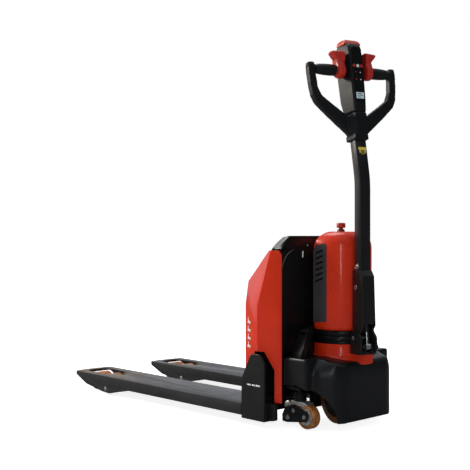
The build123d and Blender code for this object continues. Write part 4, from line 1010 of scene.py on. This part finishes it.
def cover_dashes():
    """Four plain slanted dashes with ticks, low on the cover's near front facet."""
    for i in range(4):
        z = 258 + 26.5 * i
        dash = [(15, z), (33, z - 3), (35, z + 6), (17, z + 9)]
        tick = [(17, z + 9), (21, z + 8.3), (22.5, z + 17), (18.5, z + 17.7)]
        for name, outline in (("cover_dash_%d", dash), ("cover_tick_%d", tick)):
            show_plate(name % i, facet_point, outline, -1.0, 0.35, "fork_frame", "white_print_and_painted_highlight")


def rear_point(out, y, z):
    """Point on the battery box's rear face, across and up."""
    return at(far_end("battery_box", 1) + out, y, z)


def box_trim():
    """Pale grey painted highlight along the rear panel's rounded shoulders, a plain pill mark, and screws."""
    steps = 16
    # painted highlight: a thin pale grey band stands for the light caught on the edge of the rear panel's
    # shoulder arc
    for label, side in SIDES:
        outer, inner = [], []
        for i in range(steps + 1):
            turn = math.radians(80 - 72 * i / steps)
            wide = 1.5 * math.sin(math.pi * (0.06 + 0.88 * i / steps)) + 0.2
            for line, radius in ((outer, 70.0), (inner, 70.0 - wide)):
                line.append((side * (154 + radius * math.cos(turn)), 514 + radius * math.sin(turn)))
        highlight_band = outer + inner[::-1]
        show_plate("box_painted_highlight_" + label, rear_point, highlight_band, -0.8, 0.5, "fork_frame", "painted_light_grey")
    pill = rounded([(-127, 556), (-121, 556), (-121, 578), (-127, 578)], [2.9, 2.9, 2.9, 2.9], 5)
    show_plate("box_pill", rear_point, pill, -0.5, 0.4, "fork_frame", "white_print_and_painted_highlight")
    for i, y in enumerate((-100, 100)):
        bolt("lid_screw_%d" % i, rear_point(-1.6, y, 596), X, 2.6, "lid", 2.5)


def tiller_screws():
    """Large zinc bolts through the tube and the channel, on both sides."""
    for label, side in SIDES:
        bolt("tube_bolt_" + label, on_arm(127, side * 20.5, 526), ARM_ACROSS * side, 7.5, "tiller", 6.0)


def fork_marks():
    """Thin yellow line across each fork, and pale caps on the link pins."""
    for label, side in SIDES:
        low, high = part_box("fork_" + label)
        y0, y1 = low.y + 0.004, high.y - 0.004
        start = JOINTS["link_turn_near"]["pos_m"][0] + 0.02
        corners = [(0.0, y0), (0.0016, y0), (0.0016, y1), (0.0, y1)]
        rings = [[Vector((start + x, y, z)) for x, y in corners] for z in (0.0738, 0.0742)]
        show(loft("fork_line_" + label, rings), "fork_frame", "yellow_print")
        pin = Vector(JOINTS["link_turn_" + label]["pos_m"])
        pin.y = low.y if side < 0 else high.y
        rings = []
        for depth, radius in ((0.0, 8.0), (0.4, 7.6), (0.5, 6.5)):
            centre = pin - Vector((0, side * (0.0006 - depth / 1000), 0))
            rings.append(circle(centre, X, Z, radius / 1000, 24))
        show_loft("pin_cap_" + label, rings, 50, "fork_frame", "white_print_and_painted_highlight")


# ---- floor, light and camera -----------------------------------------------
WHITE = (1.0, 1.0, 1.0, 1.0)
FLOOR_GLOW = 0.86             # brings the floor to white for the camera only
FLOOR_MIRRORED = (0.20, 0.20, 0.21, 1.0)        # the floor as reflections see it
WORLD_LIGHT = 0.42
SKY_DIM = (0.045, 0.050, 0.055)
SKY_LOBES = [                 # direction, cosine where it starts, colour
    ((0.0, 0.0, 1.0), 0.45, (0.62, 0.66, 0.72)),
    ((-0.70, 0.70, 0.12), 0.86, (0.66, 0.68, 0.72)),
    ((-0.93, 0.33, 0.22), 0.95, (1.30, 0.62, 0.14)),
    ((-0.97, -0.12, 0.02), 0.93, (1.00, 1.10, 1.20)),
    ((-0.72, -0.60, 0.35), 0.70, (0.55, 0.52, 0.50)),
    ((0.66, -0.74, 0.15), 0.975, (0.55, 0.62, 0.70)),
]
IMAGE = 470
FOCAL_PX = 885.66
CAMERA_FROM_STEER = (1.92097, -2.305434, 0.6255)
CAMERA_YAW = 0.757
CAMERA_SHIFT = 1.49           # upwards, in pixels


def make_floor():
    """Floor that shows white to the camera and keeps a soft shadow."""
    bm = bmesh.new()
    bmesh.ops.create_grid(bm, x_segments=1, y_segments=1, size=12.0)
    floor = from_bmesh("floor", bm)
    mat = material("floor", (0.80, 0.80, 0.80), 0.9, specular=0.0)
    vary_colour(mat, noise(mat, 2.0), (0.795, 0.795, 0.795), (0.805, 0.805, 0.805))
    tree = mat.node_tree
    shader = tree.nodes["Principled BSDF"]
    rays = add_node(tree, "LightPath", {})
    glow = add_node(tree, "Math", {0: rays.outputs["Is Camera Ray"], 1: FLOOR_GLOW}, operation="MULTIPLY")
    plain = shader.inputs["Base Color"].links[0].from_socket
    mirrored = add_node(tree, "Mix", {}, data_type="RGBA")
    tree.links.new(rays.outputs["Is Glossy Ray"], mirrored.inputs["Factor"])
    tree.links.new(plain, mirrored.inputs[6])
    mirrored.inputs[7].default_value = FLOOR_MIRRORED
    drive_input(mat, mirrored.outputs[2], "Base Color")
    shader.inputs["Emission Color"].default_value = WHITE
    drive_input(mat, glow.outputs["Value"], "Emission Strength")
    floor.data.materials.append(mat)


def softbox_sky(tree):
    """Colour seen in reflections: dim all round, with soft pale lobes."""
    coords = add_node(tree, "TexCoord", {})
    total = SKY_DIM
    for direction, start, colour in SKY_LOBES:
        ahead = Vector(direction).normalized()
        facing = add_node(tree, "VectorMath", {0: coords.outputs["Generated"], 1: ahead}, operation="DOT_PRODUCT")
        span = add_node(tree, "MapRange", {"Value": facing.outputs["Value"], "From Min": start, "From Max": 1.0},
                        interpolation_type="SMOOTHSTEP")
        lobe = add_node(tree, "VectorMath", {0: colour, "Scale": span.outputs["Result"]}, operation="SCALE")
        add = add_node(tree, "VectorMath", {0: lobe.outputs["Vector"], 1: total}, operation="ADD")
        total = add.outputs["Vector"]
    return total


def make_world():
    """White to the camera, a plain light, and dim softboxes in reflections."""
    world = bpy.data.worlds.new("studio")
    bpy.context.scene.world = world
    world.use_nodes = True
    tree = world.node_tree
    tree.nodes.clear()
    rays = add_node(tree, "LightPath", {}).outputs
    light = add_node(tree, "Background", {"Color": (0.94, 0.97, 1.0, 1.0), "Strength": WORLD_LIGHT})
    gloss = add_node(tree, "Background", {"Color": softbox_sky(tree), "Strength": 1.0})
    shown = add_node(tree, "Background", {"Color": WHITE, "Strength": 1.0})
    either = add_node(tree, "Math", {0: rays["Is Glossy Ray"], 1: rays["Is Transmission Ray"]},
                      operation="MAXIMUM")
    lit = add_node(tree, "MixShader", {0: either.outputs["Value"], 1: light.outputs["Background"],
                                       2: gloss.outputs["Background"]})
    mix = add_node(tree, "MixShader", {0: rays["Is Camera Ray"], 1: lit.outputs["Shader"],
                                       2: shown.outputs["Background"]})
    add_node(tree, "OutputWorld", {"Surface": mix.outputs["Shader"]})


def aim(obj, direction):
    """Turn a lamp or a camera to a direction, and put it in the scene."""
    obj.rotation_euler = direction.to_track_quat("-Z", "Y").to_euler()
    bpy.context.scene.collection.objects.link(obj)


def area_light(name, place, target, width, height, power, colour=(1.0, 1.0, 1.0)):
    """Soft box that faces a point."""
    lamp = bpy.data.lights.new(name, "AREA")
    lamp.shape = "RECTANGLE"
    lamp.size, lamp.size_y = width, height
    lamp.energy = power
    lamp.color = colour
    obj = bpy.data.objects.new(name, lamp)
    obj.location = place
    aim(obj, Vector(target) - Vector(place))


def make_lights():
    """Key from the front left, a tall strip beside the camera, and a top light."""
    middle = (0.25, 0.0, 0.5)
    area_light("key", (-2.8, -2.2, 2.4), middle, 1.1, 1.1, 108.0, (1.0, 0.93, 0.84))
    area_light("strip", (STEER_AT.x + 2.25, -2.75, 1.15), (STEER_AT.x, 0.0, 0.45), 0.26, 1.7, 9.5)
    area_light("top", (-0.6, 0.4, 3.4), middle, 1.6, 1.6, 40.0)


def make_camera():
    """Level camera beside the operator, looking along the forks' near side."""
    lens = bpy.data.cameras.new("camera")
    lens.sensor_width = 36.0
    lens.lens = FOCAL_PX * lens.sensor_width / IMAGE
    lens.shift_y = CAMERA_SHIFT / IMAGE
    camera = bpy.data.objects.new("camera", lens)
    x, y, z = CAMERA_FROM_STEER
    camera.location = (STEER_AT.x + x, y, z)
    aim(camera, Vector((-math.cos(CAMERA_YAW), math.sin(CAMERA_YAW), 0.0)))
    bpy.context.scene.camera = camera


for build in (finish_cad_nodes, drive_skirt, hood, vents, lower_ring, collar, bracket, spring, heels, lid):
    build()
for label, side in SIDES:
    caster(label, side)
for build in (cover_dashes, box_trim, tiller_screws, fork_marks, handle_loop, grips, handle_pod, pod_face,
              wings, cap, tiller_tube, sticker, estop, make_floor, make_world, make_lights, make_camera):
    build()
bpy.context.scene.view_settings.view_transform = "Standard"


def plain(box):
    """A box as two lists of numbers."""
    return [[round(value, 6) for value in corner] for corner in box]
